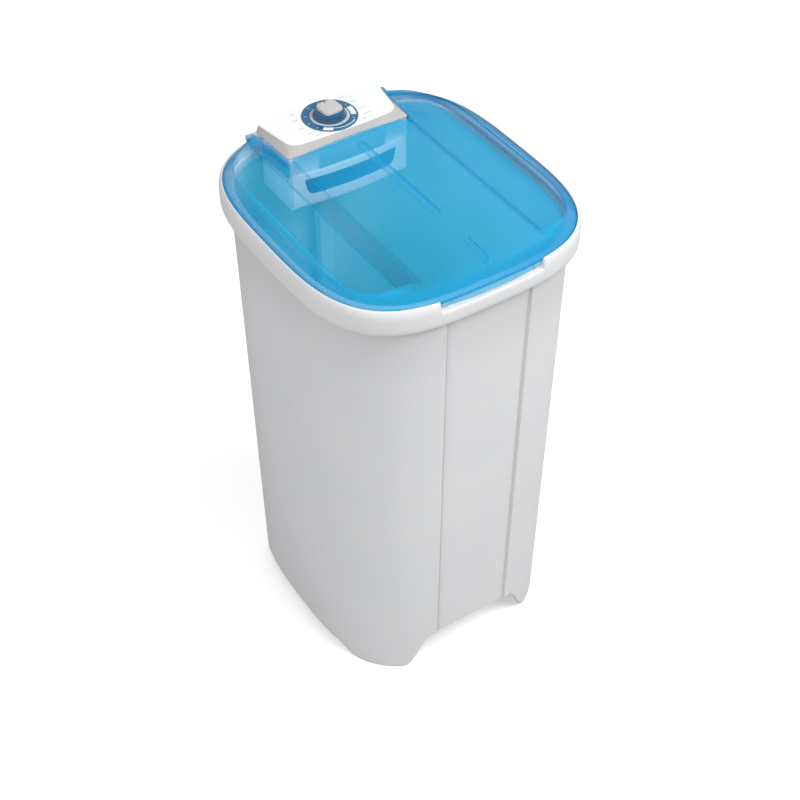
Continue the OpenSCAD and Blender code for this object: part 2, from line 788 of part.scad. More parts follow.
// Upright wall of the lid in front of the console
flange_gap = 3;
flange_low = rim_top - 10;
module flange_strip(z_top) difference() {
    translate([0, 0, flange_low])
        linear_extrude(height = z_top - flange_low)
            polygon(console_outline(flange_gap + lid_t));
    translate([0, 0, flange_low - cut])
        linear_extrude(height = z_top - flange_low + 2 * cut)
            polygon(console_outline(flange_gap));
}
module flange() {
    side = panel_w_front / 2 + flange_gap + lid_t;
    intersection() {
        flange_strip(crown_z);
        crown_cylinder(1);
        translate([1 - plateau_half, 0, flange_low - cut])
            cube([2 * plateau_half - 2, panel_front, 60]);
    }
    intersection() {
        flange_strip(crest_z - (side - plateau_half) / ramp_slope - 1);
        translate([-rim_w / 2, 0, flange_low - cut])
            cube([rim_w, panel_front + 14, 60]);
    }
}
module lid() color([0.35, 0.7, 0.9, 0.5]) difference() {
    union() {
        difference() {
            lid_form(0);
            lid_form(lid_t);
            translate([0, 0, flange_low - cut])
                linear_extrude(height = crown_z + 10 - flange_low)
                    polygon(console_outline(flange_gap));
            translate([-rim_w / 2, hinge_y + 0.5, seat_z - cut])
                cube([rim_w, 40, 60]);
            difference() {
                translate([0, 0, crest_z])
                    linear_extrude(height = crown_h + 2) {
                        slot_shape(-113, 109, groove_w);
                        slot_shape(-225, -189, groove_w - 4);
                    }
                crown_cylinder(groove_deep);
            }
        }
        tab_form();
        flange();
        for (s = [-1, 1]) {
            run_x(s > 0 ? ear_x : -ear_x - ear_t, s > 0 ? ear_x + ear_t : -ear_x,
                hinge_y, hinge_z, ear_r);
            translate([s > 0 ? ear_x : -ear_x - ear_t, hinge_y - 26, hinge_z - ear_r - 2])
                cube([ear_t, 26, ear_r + 8]);
        }
    }
    run_x(-rim_w / 2, rim_w / 2, hinge_y, hinge_z, pin_r + run_fit);
}
module hinge_pin(s) {
    run_x(s > 0 ? knuckle_end - 16 : -ear_x - ear_t - 1.5, s > 0 ? ear_x + ear_t + 1.5 : 16 - knuckle_end,
        hinge_y, hinge_z, pin_r);
}
module lid_hinge_pin_left() color([0.8, 0.8, 0.82]) hinge_pin(-1);
module lid_hinge_pin_right() color([0.8, 0.8, 0.82]) hinge_pin(1);

// The drawer under the console, with its finger cup and its two runners
function drawer_front(half, g) = concat(
    [for (i = [0:bow_steps]) let (u = 2 * i / bow_steps - 1)
        [u * (half - g), housing_front - 2 + g - drawer_bow * (1 - u * u)]],
    [[half - g, housing_front + 4], [g - half, housing_front + 4]]
);
module drawer_slot(g) {
    top = slot_low + slot_h;
    translate([0, housing_front + 14, 0])
        rotate([90, 0, 0])
            linear_extrude(height = 44)
                polygon([[slot_half + g, top + g], [slot_half - 2 + g, slot_low + 12],
                    [slot_half - 5 + g, slot_low + 4 - g], [slot_half - 12 + g, slot_low - g],
                    [12 - slot_half - g, slot_low - g], [5 - slot_half - g, slot_low + 4 - g],
                    [2 - slot_half - g, slot_low + 12], [-slot_half - g, top + g]]);
}
module drawer_body() color([0.8, 0.9, 0.97]) difference() {
    union() {
        translate([0, 0, drawer_low])
            linear_extrude(height = drawer_h)
                polygon(drawer_front(front_half, 0));
        translate([-drawer_half, housing_front, drawer_low])
            cube([2 * drawer_half, drawer_back - housing_front, drawer_h]);
        for (s = [-1, 1]) for (t = [-1, 1])
            translate([s > 0 ? drawer_half - 0.5 : -front_half,
                    housing_front, runner_z + (t > 0 ? runner_h + move_gap : -6 - move_gap)])
                cube([front_half - drawer_half + 0.5, drawer_back - housing_front - 2, 6]);
    }
    translate([0, 0, drawer_low + drawer_t])
        linear_extrude(height = drawer_h)
            intersection() {
                polygon(drawer_front(drawer_half, drawer_t));
                translate([-front_half, 0])
                    square([2 * front_half, housing_front + 3]);
            }
    translate([drawer_t - drawer_half, housing_front + 2, drawer_low + drawer_t])
        cube([2 * (drawer_half - drawer_t), drawer_back - housing_front - 2 - drawer_t, drawer_h]);
    drawer_slot(0);
}
module drawer_insert() color([0, 0.5, 0.78]) difference() {
    translate([-slot_half - 2.5, housing_front - 2 - drawer_bow + drawer_t, drawer_low + drawer_t])
        cube([2 * slot_half + 5, cup_deep + drawer_t, slot_low + slot_h + 2.5 - drawer_low - drawer_t]);
    difference() {
        translate([-front_half, 0, drawer_low])
            cube([2 * front_half, housing_front + 4, drawer_h]);
        translate([0, 0, drawer_low])
            linear_extrude(height = drawer_h)
                polygon(drawer_front(drawer_half, drawer_t));
        translate([-front_half, housing_front, drawer_low])
            cube([2 * front_half, 10, drawer_h]);
    }
    intersection() {
        drawer_slot(0);
        translate([-front_half, 0, drawer_low])
            cube([2 * front_half, housing_front - 2 - drawer_bow + cup_deep, drawer_h]);
    }
}
module drawer_runner(s)
    translate([s > 0 ? drawer_half + move_gap : -bay_half, runner_front, runner_z])
        cube([bay_half - drawer_half - move_gap, bay_back - runner_front, runner_h]);
module drawer_runner_left() color([0.86, 0.92, 0.97]) drawer_runner(-1);
module drawer_runner_right() color([0.86, 0.92, 0.97]) drawer_runner(1);

// Washing disc with its vanes, cap and screw
hub_r = 24;
vane_w = 14;
vane_rise = 12;
function vane_top(r) = hub_top - vane_rise + 2 * vane_rise * (1 - pow(r / disc_r, 2));
module agitator() color([0.93, 0.93, 0.93]) difference() {
    union() {
        rotate_extrude($fn = 96)
            polygon([[0, disc_low], [disc_r - 2, disc_low], [disc_r, disc_low + 2],
                [disc_r, disc_low + 5], [disc_r - 3, disc_low + 7], [hub_r + 20, hub_top - 8],
                [hub_r, hub_top], [0, hub_top]]);
        intersection() {
            rotate_extrude($fn = 96)
                polygon(concat([[hub_r + 3, disc_low]],
                    [for (i = [0:10]) let (r = hub_r + 3 + (disc_r - 8 - hub_r) * i / 10)
                        [r, vane_top(r)]],
                    [[disc_r - 5, disc_low]]));
            for (i = [0:vane_count - 1])
                rotate([0, 0, 360 * i / vane_count + 12])
                    translate([hub_r - 4, -vane_w / 2, disc_low + 3])
                        cube([disc_r, vane_w, 60]);
        }
    }
    run_z(0, 0, disc_low - cut, hub_top + cut, shaft_r + fixed_fit);
}
cap_h = 20;
module agitator_cap() color([0.1, 0.45, 0.7]) difference() {
    union() {
        run_z(0, 0, hub_top, hub_top + cap_h - 6, hub_r - 1);
        translate([0, 0, hub_top + cap_h - 6])
            cylinder(r1 = hub_r - 1, r2 = hub_r - 8, h = 6);
    }
    run_z(0, 0, hub_top - cut, hub_top + cap_h - 8, hub_r - 5);
}
screw_r = 3.5;
module agitator_screw() color([0.75, 0.75, 0.76])
    translate([0, 0, hub_top])
        screw(screw_r, 18, shaft_r + 4, 6);

// Washing shaft, its bearings and its pulley
module drive_shaft() color([0.7, 0.7, 0.72]) difference() {
    run_z(0, 0, shaft_low, shaft_top, shaft_r);
    run_z(0, 0, hub_top - 20, shaft_top + cut, screw_r + fixed_fit);
}
module bearing_housing() color([0.55, 0.56, 0.58]) difference() {
    union() {
        run_z(0, 0, bearing_low, floor_low, bearing_r);
        run_z(0, 0, floor_low - flange_t, floor_low, bolt_circle + 10);
        run_z(0, 0, floor_low, neck_top, neck_r);
    }
    run_z(0, 0, bearing_low - cut, neck_top + cut, shaft_r + 2);
    run_z(0, 0, bearing_low - cut, bearing_low + 22, bush_r);
    run_z(0, 0, neck_top - 6, neck_top + cut, seal_r);
    run_z(0, 0, neck_top - 28, neck_top - 5, bush_r);
    for (p = bearing_places)
        run_z(p[0], p[1], floor_low - flange_t - cut, floor_low + cut, 3.2);
}
module upper_bush() color([0.72, 0.55, 0.3])
    ring(bush_r, shaft_r + run_fit, neck_top - 28, neck_top - 6);
module lower_bush() color([0.72, 0.55, 0.3])
    ring(bush_r, shaft_r + run_fit, bearing_low, bearing_low + 22);
module shaft_seal() color([0.15, 0.15, 0.15])
    ring(seal_r, shaft_r + run_fit, neck_top - 6, neck_top);
module floor_bolt(nut_top) {
    run_z(0, 0, nut_top - nut_h - 1.5, tub_floor_z, bolt_r);
    translate([0, 0, tub_floor_z])
        cylinder(r1 = bolt_r + 4, r2 = bolt_r + 2, h = bolt_head_h);
    translate([0, 0, nut_top - nut_h])
        cylinder(r = bolt_r + 2.5, h = nut_h, $fn = 6);
}
module bearing_bolts() color([0.75, 0.75, 0.76])
    for (p = bearing_places)
        translate([p[0], p[1], 0])
            floor_bolt(floor_low - flange_t);
module shaft_washer() color([0.75, 0.75, 0.76])
    ring(bush_r, shaft_r + fixed_fit, washer_low, washer_low + washer_t);
module pulley_section(r_out, hub, z_top) {
    z1 = belt_z - belt_w / 2;
    z2 = belt_z + belt_w / 2;
    difference() {
        union() {
            run_z(0, 0, z1 - 3, z2 + 3, r_out);
            run_z(0, 0, z1 - 3, z_top, hub);
        }
        ring(r_out + cut, r_out - groove_r, z1 - belt_gap, z2 + belt_gap);
    }
}
module driven_pulley() color([0.35, 0.36, 0.38]) difference() {
    pulley_section(driven_r, shaft_r + 8, washer_low);
    ring(driven_r - groove_r - 5, shaft_r + 8, belt_z + 2, belt_z + belt_w);
    ring(driven_r - groove_r - 5, shaft_r + 8, belt_z - belt_w, belt_z - 2);
    for (i = [0:4])
        rotate([0, 0, 72 * i])
            run_z((driven_r - groove_r - 5 + shaft_r + 8) / 2, 0, belt_z - 10, belt_z + 10, 16);
    run_z(0, 0, shaft_low, washer_low + cut, shaft_r + fixed_fit);
}
module pulley_nut() color([0.75, 0.75, 0.76]) difference() {
    translate([0, 0, belt_z - belt_w / 2 - 3 - nut_h])
        cylinder(r = shaft_r + 4, h = nut_h, $fn = 6);
    run_z(0, 0, shaft_low - cut, belt_z, shaft_r + fixed_fit);
}
module belt_loop(grow) {
    hull() {
        circle(r = driven_r - groove_r + belt_gap + grow, $fn = 120);
        translate([motor_x, motor_y])
            circle(r = motor_pulley_r - groove_r + belt_gap + grow, $fn = 120);
    }
}
module drive_belt() color([0.1, 0.1, 0.1])
    translate([0, 0, belt_z - belt_w / 2])
        linear_extrude(height = belt_w)
            difference() {
                belt_loop(belt_t);
                belt_loop(0);
            }

// Motor with its bracket, mounts, rotor and pulley
module motor_body() color([0.6, 0.61, 0.63])
    translate([motor_x, motor_y, 0])
        difference() {
            run_z(0, 0, motor_low, motor_top, motor_r);
            run_z(0, 0, motor_low + 8, motor_top - 8, rotor_r + 0.4);
            run_z(0, 0, motor_low - cut, motor_top - 3, motor_shaft_r + run_fit);
        }
module motor_bracket() color([0.7, 0.71, 0.73]) difference() {
    translate([motor_x - mount_pitch - 12, motor_y - mount_pitch - 12, motor_top])
        cube([2 * mount_pitch + 24, 2 * mount_pitch + 24, bracket_t]);
    for (p = motor_places)
        run_z(p[0], p[1], motor_top - cut, motor_top + bracket_t + cut, 3.2);
}
mount_r = 10;
module motor_mounts() color([0.12, 0.12, 0.12])
    for (p = motor_places)
        translate([p[0], p[1], 0])
            ring(mount_r, bolt_hole_r, motor_top + bracket_t, floor_low);
module motor_bolts() color([0.75, 0.75, 0.76])
    for (p = motor_places)
        translate([p[0], p[1], 0])
            floor_bolt(motor_top);
module motor_rotor() color([0.5, 0.35, 0.25])
    translate([motor_x, motor_y, 0])
        ring(rotor_r, motor_shaft_r + fixed_fit, motor_low + 12, motor_top - 12);
module motor_shaft() color([0.7, 0.7, 0.72])
    run_z(motor_x, motor_y, belt_z - belt_w / 2 - 6, motor_top - 3.5, motor_shaft_r);
module motor_pulley() color([0.35, 0.36, 0.38])
    translate([motor_x, motor_y, 0])
        difference() {
            pulley_section(motor_pulley_r, motor_shaft_r + 8, belt_z + belt_w / 2 + 13);
            run_z(0, 0, shaft_low, motor_low, motor_shaft_r + fixed_fit);
            run_y(0, -motor_shaft_r - 9, 0, belt_z + belt_w / 2 + 8, 2);
        }
module pulley_set_screw() color([0.3, 0.3, 0.3])
    run_y(motor_x, motor_y - motor_shaft_r - 8, motor_y - motor_shaft_r, belt_z + belt_w / 2 + 8, 1.98);

// Capacitor and wiring
cap_x = rim_w / 2 - 107;
cap_y = -40;
cap_r = 20;
module capacitor() color([0.3, 0.32, 0.36])
    run_z(cap_x, cap_y, motor_low, motor_low + 70, cap_r);
module capacitor_clip() color([0.75, 0.75, 0.76])
    translate([cap_x, cap_y, 0]) {
        ring(cap_r + 2, cap_r + fixed_fit, motor_low + 20, motor_low + 32);
        translate([cap_r + 1, -6, motor_low + 20])
            cube([2, 12, floor_low - motor_low - 20]);
        translate([cap_r + 1, -6, floor_low - 2])
            cube([16, 12, 2]);
    }
loom_x = -50;
loom_z = motor_top - 20;
branch_y = bolt_circle + 30;
branch_r = 3;
module wiring_harness() color([0.15, 0.15, 0.16]) {
    plug_z = timer_low + 8;
    motor_side = motor_y + sqrt(pow(motor_r, 2) - pow(abs(loom_x - motor_x) - wire_r, 2));
    run_z(0, wire_y, loom_z, plug_z, wire_r);
    run_x(dial_x, 0, wire_y, plug_z, wire_r);
    run_y(dial_x, dial_y + timer_r + 4, wire_y, plug_z, wire_r);
    run_x(loom_x, 0, wire_y, loom_z, wire_r);
    run_y(loom_x, motor_side + 0.1, wire_y, loom_z, wire_r);
    run_x(loom_x, cap_x, branch_y, loom_z, branch_r);
    run_y(cap_x, cap_y + cap_r, branch_y, loom_z, branch_r);
    run_z(loom_x, wire_y, outlet_z, loom_z, branch_r);
    translate([loom_x - 7, wire_y - 6, outlet_z - 18])
        cube([14, 8, 18]);
    for (p = [[0, wire_y, loom_z, wire_r], [loom_x, wire_y, loom_z, wire_r],
            [0, wire_y, plug_z, wire_r], [dial_x, wire_y, plug_z, wire_r],
            [cap_x, branch_y, loom_z, branch_r]])
        translate([p[0], p[1], p[2]])
            sphere(r = p[3]);
}
duct_half = 13;
duct_deep = 18;
duct_t = 2;
module cable_duct() color([0.92, 0.92, 0.92]) difference() {
    translate([-duct_half, wire_y - duct_deep / 2, tub_floor_z])
        cube([2 * duct_half, duct_deep, housing_z - tub_floor_z]);
    translate([duct_t - duct_half, wire_y - duct_deep / 2 + duct_t, tub_floor_z - cut])
        cube([2 * (duct_half - duct_t), duct_deep - 2 * duct_t, housing_z - tub_floor_z + 2 * cut]);
}
module cord_gland() color([0.12, 0.12, 0.12]) difference() {
    union() {
        run_y(-inlet_x, pad_front - 4, pad_back + 3, outlet_z, cord_bore_r + 4);
        run_y(-inlet_x, pad_back, pad_back + 3, outlet_z, cord_bore_r + 8);
        run_y(-inlet_x, pad_front - 4, pad_front, outlet_z, cord_bore_r + 8);
    }
    run_y(-inlet_x, pad_front - 4 - cut, pad_back + 3 + cut, outlet_z, cord_bore_r);
}

// Drain: strainer, elbow, spigot and clamp
drain_neck_r = 19;
module drain_strainer() color([0.9, 0.9, 0.9])
    translate([drain_x, drain_y, 0])
        difference() {
            union() {
                run_z(0, 0, tub_floor_z, tub_floor_z + 3, strainer_r);
                run_z(0, 0, floor_low + 0.5, tub_floor_z, drain_neck_r);
            }
            run_z(0, 0, floor_low, tub_floor_z + 1, drain_neck_r - 2.5);
            for (i = [0:5])
                rotate([0, 0, 60 * i])
                    run_z(10, 0, tub_floor_z, tub_floor_z + 3 + cut, 3);
            run_z(0, 0, tub_floor_z, tub_floor_z + 3 + cut, 3);
        }
elbow_r = spigot_r + tube_t;
elbow_end = pad_front - 2;
module drain_elbow() color([0.25, 0.25, 0.27]) difference() {
    union() {
        run_z(drain_x, drain_y, outlet_z, floor_low, elbow_r);
        run_z(drain_x, drain_y, floor_low - 4, floor_low, elbow_r + 12);
        run_y(drain_x, drain_y, elbow_end, outlet_z, elbow_r);
        translate([drain_x, drain_y, outlet_z])
            sphere(r = elbow_r);
    }
    run_z(drain_x, drain_y, outlet_z, floor_low + cut, spigot_r + fixed_fit);
    run_y(drain_x, drain_y, elbow_end + cut, outlet_z, spigot_r + fixed_fit);
    translate([drain_x, drain_y, outlet_z])
        sphere(r = spigot_r + fixed_fit);
}
spigot_end = rim_d / 2 - 1;
module drain_outlet() color([0.92, 0.92, 0.92]) difference() {
    union() {
        run_y(drain_x, elbow_end - 12, spigot_end, outlet_z, spigot_r);
        run_y(drain_x, pad_back, pad_back + 2.5, outlet_z, spigot_r + 7);
    }
    run_y(drain_x, elbow_end - 12 - cut, spigot_end + cut, outlet_z, spigot_r - tube_t);
}
module drain_clamp() color([0.75, 0.75, 0.76])
    translate([drain_x, 0, outlet_z])
        rotate([-90, 0, 0])
            ring(elbow_r + 2, elbow_r + fixed_fit, elbow_end - 10, elbow_end - 2);

// Bottom guard under the drive
slot_w = 8;
slot_pitch = 30;
slot_near = 60;
slot_far = half_d(guard_z) - 56;
guard_screw_r = 1.95;
guard_screw_l = 12;
guard_head_r = 4;
guard_head_h = 2;
module bottom_guard() color([0.8, 0.8, 0.8]) difference() {
    cab_prism(guard_z, guard_top, wall + 1);
    for (i = [-4:4])
        for (t = [-1, 1])
            translate([i * slot_pitch, t * (slot_near + slot_far) / 2, guard_top - guard_t / 2])
                cube([slot_w, slot_far - slot_near, guard_t + 2 * cut], center = true);
    for (p = guard_places)
        run_z(p[0], p[1], guard_z - cut, guard_top + cut, 2.2);
}
module guard_screws() color([0.75, 0.75, 0.76])
    for (p = guard_places)
        translate([p[0], p[1], guard_z])
            mirror([0, 0, 1])
                screw(guard_screw_r, guard_screw_l, guard_head_r, guard_head_h);

cabinet();
tub_floor();
top_rim();
rim_screws();
console_housing();
control_panel();
panel_screws();
housing_screws();
dial_ring();
dial_inlay();
timer_body();
timer_nut();
drawer_runner_left();
drawer_runner_right();
lid_hinge_pin_left();
lid_hinge_pin_right();
drain_strainer();
drain_elbow();
drain_outlet();
drain_clamp();
bearing_housing();
upper_bush();
lower_bush();
shaft_seal();
bearing_bolts();
motor_body();
motor_bracket();
motor_bolts();
motor_mounts();
capacitor();
capacitor_clip();
wiring_harness();
cable_duct();
cord_gland();
bottom_guard();
guard_screws();
drive_belt();
lid();
knob_base();
knob_grip();
timer_shaft();
drawer_body();
drawer_insert();
agitator();
agitator_cap();
agitator_screw();
drive_shaft();
driven_pulley();
pulley_nut();
shaft_washer();
motor_rotor();
motor_shaft();
motor_pulley();
pulley_set_screw();
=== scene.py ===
"""Looks of a single-tub washing machine with a translucent lid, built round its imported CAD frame.

Lengths in the size classes are millimetres in the CAD's own frame; meshes are written in metres.
"""

import json
import logging
import math
from dataclasses import dataclass
from enum import Enum
from typing import Callable, Sequence

import bmesh
import bpy
from mathutils import Matrix, Vector


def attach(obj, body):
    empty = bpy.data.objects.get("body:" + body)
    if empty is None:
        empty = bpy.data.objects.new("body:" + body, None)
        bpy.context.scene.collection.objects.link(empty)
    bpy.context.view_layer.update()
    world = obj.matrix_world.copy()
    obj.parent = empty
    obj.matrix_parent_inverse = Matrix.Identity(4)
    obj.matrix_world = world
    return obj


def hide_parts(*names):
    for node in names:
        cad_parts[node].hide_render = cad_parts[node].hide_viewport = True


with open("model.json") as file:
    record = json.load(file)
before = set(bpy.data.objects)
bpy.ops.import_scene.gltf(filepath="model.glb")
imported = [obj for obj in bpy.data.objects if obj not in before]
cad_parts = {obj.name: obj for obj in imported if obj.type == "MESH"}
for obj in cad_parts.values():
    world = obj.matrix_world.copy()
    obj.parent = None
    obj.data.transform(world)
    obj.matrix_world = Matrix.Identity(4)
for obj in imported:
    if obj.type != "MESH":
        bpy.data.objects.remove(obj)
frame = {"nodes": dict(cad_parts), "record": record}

MM = 0.001
# Edges sharper than this many degrees stay sharp.
SHARP = 32.0
# Step length round the cabinet and the rim, in millimetres.
SPACING = 5.5
# Depth that the lid's hidden walls are given, for the least cover.
HIDDEN = -0.5
LOG = logging.getLogger("scene")
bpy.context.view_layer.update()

Point = tuple[float, float]
Triple = tuple[float, float, float]
Ring = list[Triple]
Mesh, Vert, Edge, Face = bmesh.types.BMesh, bmesh.types.BMVert, bmesh.types.BMEdge, bmesh.types.BMFace
Thing, Material = bpy.types.Object, bpy.types.Material
Tree, Socket = bpy.types.NodeTree, bpy.types.NodeSocket
Paints = dict[str, Material]


class Body(str, Enum):
    """Rigid bodies that carry the new pieces."""

    BASE = "base"
    LID = "lid_body"
    KNOB = "timer_knob"
    DRAWER = "drawer"


class Slot(str, Enum):
    """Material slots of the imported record."""

    BODY = "body_white"
    RIM = "rim_white"
    LID = "lid_blue"
    HOUSING = "housing_tint"
    PANEL = "panel_white"
    DIAL = "dial_blue"
    GRIP = "grip_grey"
    KNOB = "knob_blue"
    DRAWER = "drawer_white"
    INSERT = "insert_blue"
    DISC = "disc_white"
    STEEL = "steel"
    CAST = "cast_alloy"
    BRONZE = "bronze"
    RUBBER = "rubber_black"
    DARK = "dark_plastic"
    MOTOR = "motor_paint"
    WINDING = "winding"


# Curves


def clamp(value: float) -> float:
    """Value held between 0 and 1."""
    return min(1.0, max(0.0, value))


def smooth_step(value: float) -> float:
    """Ease from 0 to 1 as value goes from 0 to 1."""
    u = clamp(value)
    return u * u * (3.0 - 2.0 * u)


def mix(a: float, b: float, t: float) -> float:
    """Value between a and b."""
    return a + (b - a) * t


@dataclass(frozen=True)
class Oval:
    """Rounded rectangle |x/half_x|^power + |y/half_y|^power = 1."""

    half_x: float
    half_y: float
    power: float

    def inset(self, across: float, along: float | None = None) -> "Oval":
        """The same outline, smaller on every side, or by one amount across and another along."""
        return Oval(self.half_x - across, self.half_y - (across if along is None else along), self.power)

    def point(self, angle: float) -> Point:
        """Point at a parameter angle in radians."""
        c, s = math.cos(angle), math.sin(angle)
        e = 2.0 / self.power
        return math.copysign(self.half_x * abs(c) ** e, c), math.copysign(self.half_y * abs(s) ** e, s)

    def depth(self, x: float) -> float:
        """Half depth of the outline at a distance x from the middle."""
        return self.half_y * (1.0 - clamp(abs(x) / self.half_x) ** self.power) ** (1.0 / self.power)

    def width(self, y: float) -> float:
        """Half width of the outline at a distance y from the middle."""
        return Oval(self.half_y, self.half_x, self.power).depth(y)

    def reach(self, x: float, y: float) -> float:
        """Below 1 inside the outline and above 1 outside it."""
        p = self.power
        return (abs(x / self.half_x) ** p + abs(y / self.half_y) ** p) ** (1.0 / p)


def even_angles(oval: Oval, spacing: float, finer: Callable[[float, float], float]) -> list[float]:
    """Parameter angles that walk round an outline in near-even steps, mirrored left to right.

    Args:
        oval: The outline to walk.
        spacing: Step length in millimetres.
        finer: How many times finer the steps are at a point.

    Returns:
        The angles of the whole way round, from the middle of the front.
    """
    front, fine = -math.pi / 2, 8000
    travelled, marks = 0.0, [front]
    last = oval.point(front)
    lengths = []
    for i in range(1, fine + 1):
        here = oval.point(front + math.pi * i / fine)
        travelled += math.dist(last, here) * finer(*here)
        lengths.append(travelled)
        last = here
    count = max(8, round(travelled / spacing))
    wanted = travelled / count
    for i, length in enumerate(lengths, start=1):
        if length >= wanted and len(marks) < count:
            marks.append(front + math.pi * i / fine)
            wanted += travelled / count
    marks.append(math.pi / 2)
    return marks + [math.pi - a for a in reversed(marks[1:-1])]


def arc(start: Vector, corner: Vector, end: Vector, steps: int) -> list[Point]:
    """Points of a curve that leaves start and reaches end as if rounding the corner."""
    spots = []
    for k in range(steps + 1):
        t = k / steps
        spots.append((1 - t) ** 2 * start + 2 * t * (1 - t) * corner + t * t * end)
    return [(spot.x, spot.y) for spot in spots]


def round_corners(points: Sequence[Triple], closed: bool, steps: int) -> list[Point]:
    """A polyline with an arc at each corner.

    Args:
        points: Corners as (across, up, corner radius).
        closed: Whether the last corner joins the first.
        steps: Segments in each arc.

    Returns:
        The rounded line as (across, up).
    """
    result: list[Point] = []
    count = len(points)
    for i, (x, y, r) in enumerate(points):
        if r <= 0.0 or (not closed and i in (0, count - 1)):
            result.append((x, y))
            continue
        here = Vector((x, y))
        before = Vector(points[i - 1][:2]) - here
        after = Vector(points[(i + 1) % count][:2]) - here
        reach = min(r, 0.49 * before.length, 0.49 * after.length)
        result += arc(here + before.normalized() * reach, here, here + after.normalized() * reach, steps)
    return result


# Meshes


def start_loop(bm: Mesh, ring: Ring) -> list[Vert]:
    """Make a closed loop of vertices on a ring given in millimetres."""
    made = bmesh.ops.create_circle(bm, segments=max(3, len(ring)), radius=1.0)["verts"]
    loop = sorted(made, key=lambda v: math.atan2(v.co.y, v.co.x) % math.tau)
    place(loop, ring)
    return loop


def place(loop: Sequence[Vert], ring: Ring) -> None:
    """Put a loop of vertices on a ring given in millimetres."""
    for vert, co in zip(loop, ring, strict=True):
        vert.co = Vector(co) * MM


def loft(rings: Sequence[Ring], paints: Sequence[int] = (), hoop: bool = False) -> Mesh:
    """A solid skinned over a row of loops.

    Args:
        rings: Loops in order, in millimetres, each with the same number of points.
        paints: Material index of the faces that lead up to each loop; the first and the last also
            give the end faces theirs. Without them every face has material 0.
        hoop: Whether the last loop lies on the first, and is welded to it in place of the end faces.

    Returns:
        The closed mesh.
    """
    bm = bmesh.new()
    first = loop = start_loop(bm, rings[0])
    paints = paints or [0] * len(rings)

    def edges(verts: Sequence[Vert]) -> list[Edge]:
        """Edges of a loop, in order."""
        return [bm.edges.get(pair) for pair in zip(verts, verts[1:] + verts[:1])]

    for ring, paint in zip(rings[1:], paints[1:], strict=True):
        made = bmesh.ops.extrude_edge_only(bm, edges=edges(loop))["geom"]
        fresh = {g for g in made if isinstance(g, Vert)}
        loop = [next(e.other_vert(v) for e in v.link_edges if e.other_vert(v) in fresh) for v in loop]
        for face in made:
            if isinstance(face, Face):
                face.material_index = paint
        place(loop, ring)
    if hoop:
        bmesh.ops.remove_doubles(bm, verts=bm.verts[:], dist=1e-6)
        return bm
    for ends, paint in ((loop, paints[-1]), (first, paints[0])):
        for face in bmesh.ops.contextual_create(bm, geom=edges(ends))["faces"]:
            face.material_index = paint
    return bm


def spin_profile(profile: Sequence[Point], centre: Point, steps: int) -> Mesh:
    """Turn a profile of (radius, height) points about an upright axis.

    Args:
        profile: Points from the axis outwards and back, in millimetres.
        centre: Where the axis stands.
        steps: Segments round the axis.

    Returns:
        The closed mesh.
    """
    bm = bmesh.new()
    loop = start_loop(bm, [(r, 0.0, z) for r, z in profile])
    if profile[0][0] == 0.0 and profile[-1][0] == 0.0:
        bm.edges.remove(bm.edges.get((loop[-1], loop[0])))
    bmesh.ops.spin(
        bm, geom=bm.verts[:] + bm.edges[:], cent=(0, 0, 0), axis=(0, 0, 1),
        angle=math.tau, steps=steps, use_merge=True, use_normal_flip=False, use_duplicate=False,
    )
    bmesh.ops.remove_doubles(bm, verts=bm.verts[:], dist=1e-7)
    bmesh.ops.translate(bm, verts=bm.verts[:], vec=Vector((*centre, 0.0)) * MM)
    return bm


def bevelled_box(low: Sequence[float], high: Sequence[float], radius: float = 0.0) -> Mesh:
    """A box between two corners in millimetres, with rounded edges where a radius is given."""
    bm = bmesh.new()
    bmesh.ops.create_cube(bm, size=1.0)
    size = [b - a for a, b in zip(low, high)]
    middle = [(b + a) / 2 for a, b in zip(low, high)]
    bmesh.ops.scale(bm, verts=bm.verts[:], vec=Vector(size) * MM)
    bmesh.ops.translate(bm, verts=bm.verts[:], vec=Vector(middle) * MM)
    if radius > 0:
        bmesh.ops.bevel(
            bm, geom=bm.edges[:], offset=radius * MM, offset_type="OFFSET", segments=3,
            profile=0.5, affect="EDGES", material=-1,
        )
    return bm


def move(bm: Mesh, angle: float, axis: str, shift: Sequence[float]) -> Mesh:
    """Turn a mesh about an axis of the frame by degrees, then shift it by millimetres."""
    turn = Matrix.Rotation(math.radians(angle), 3, axis)
    bmesh.ops.rotate(bm, verts=bm.verts[:], cent=(0, 0, 0), matrix=turn)
    bmesh.ops.translate(bm, verts=bm.verts[:], vec=Vector(shift) * MM)
    return bm


def absorb(bm: Mesh, part: Mesh) -> None:
    """Add one bmesh to another and free it."""
    mesh = bpy.data.meshes.new("part")
    part.to_mesh(mesh)
    part.free()
    bm.from_mesh(mesh)
    bpy.data.meshes.remove(mesh)


def shade(bm: Mesh, angle: float) -> None:
    """Turn normals outward and shade smoothly, except over edges sharper than the angle."""
    bmesh.ops.recalc_face_normals(bm, faces=bm.faces[:])
    for face in bm.faces:
        face.smooth = True
    for edge in bm.edges:
        if len(edge.link_faces) == 2:
            edge.smooth = edge.calc_face_angle(0.0) < math.radians(angle)


def to_object(
    name: str, bm: Mesh, paints: Sequence[Material], angle: float = SHARP
) -> Thing:
    """Write a bmesh into a new scene object with its materials.

    Args:
        name: Name of the object.
        bm: The mesh, freed here.
        paints: Materials in the order of the mesh's material indices.
        angle: Edges sharper than this many degrees stay sharp.

    Returns:
        The new object.
    """
    shade(bm, angle)
    mesh = bpy.data.meshes.new(name)
    bm.to_mesh(mesh)
    bm.free()
    for paint in paints:
        mesh.materials.append(paint)
    piece = bpy.data.objects.new(name, mesh)
    bpy.context.scene.collection.objects.link(piece)
    return piece


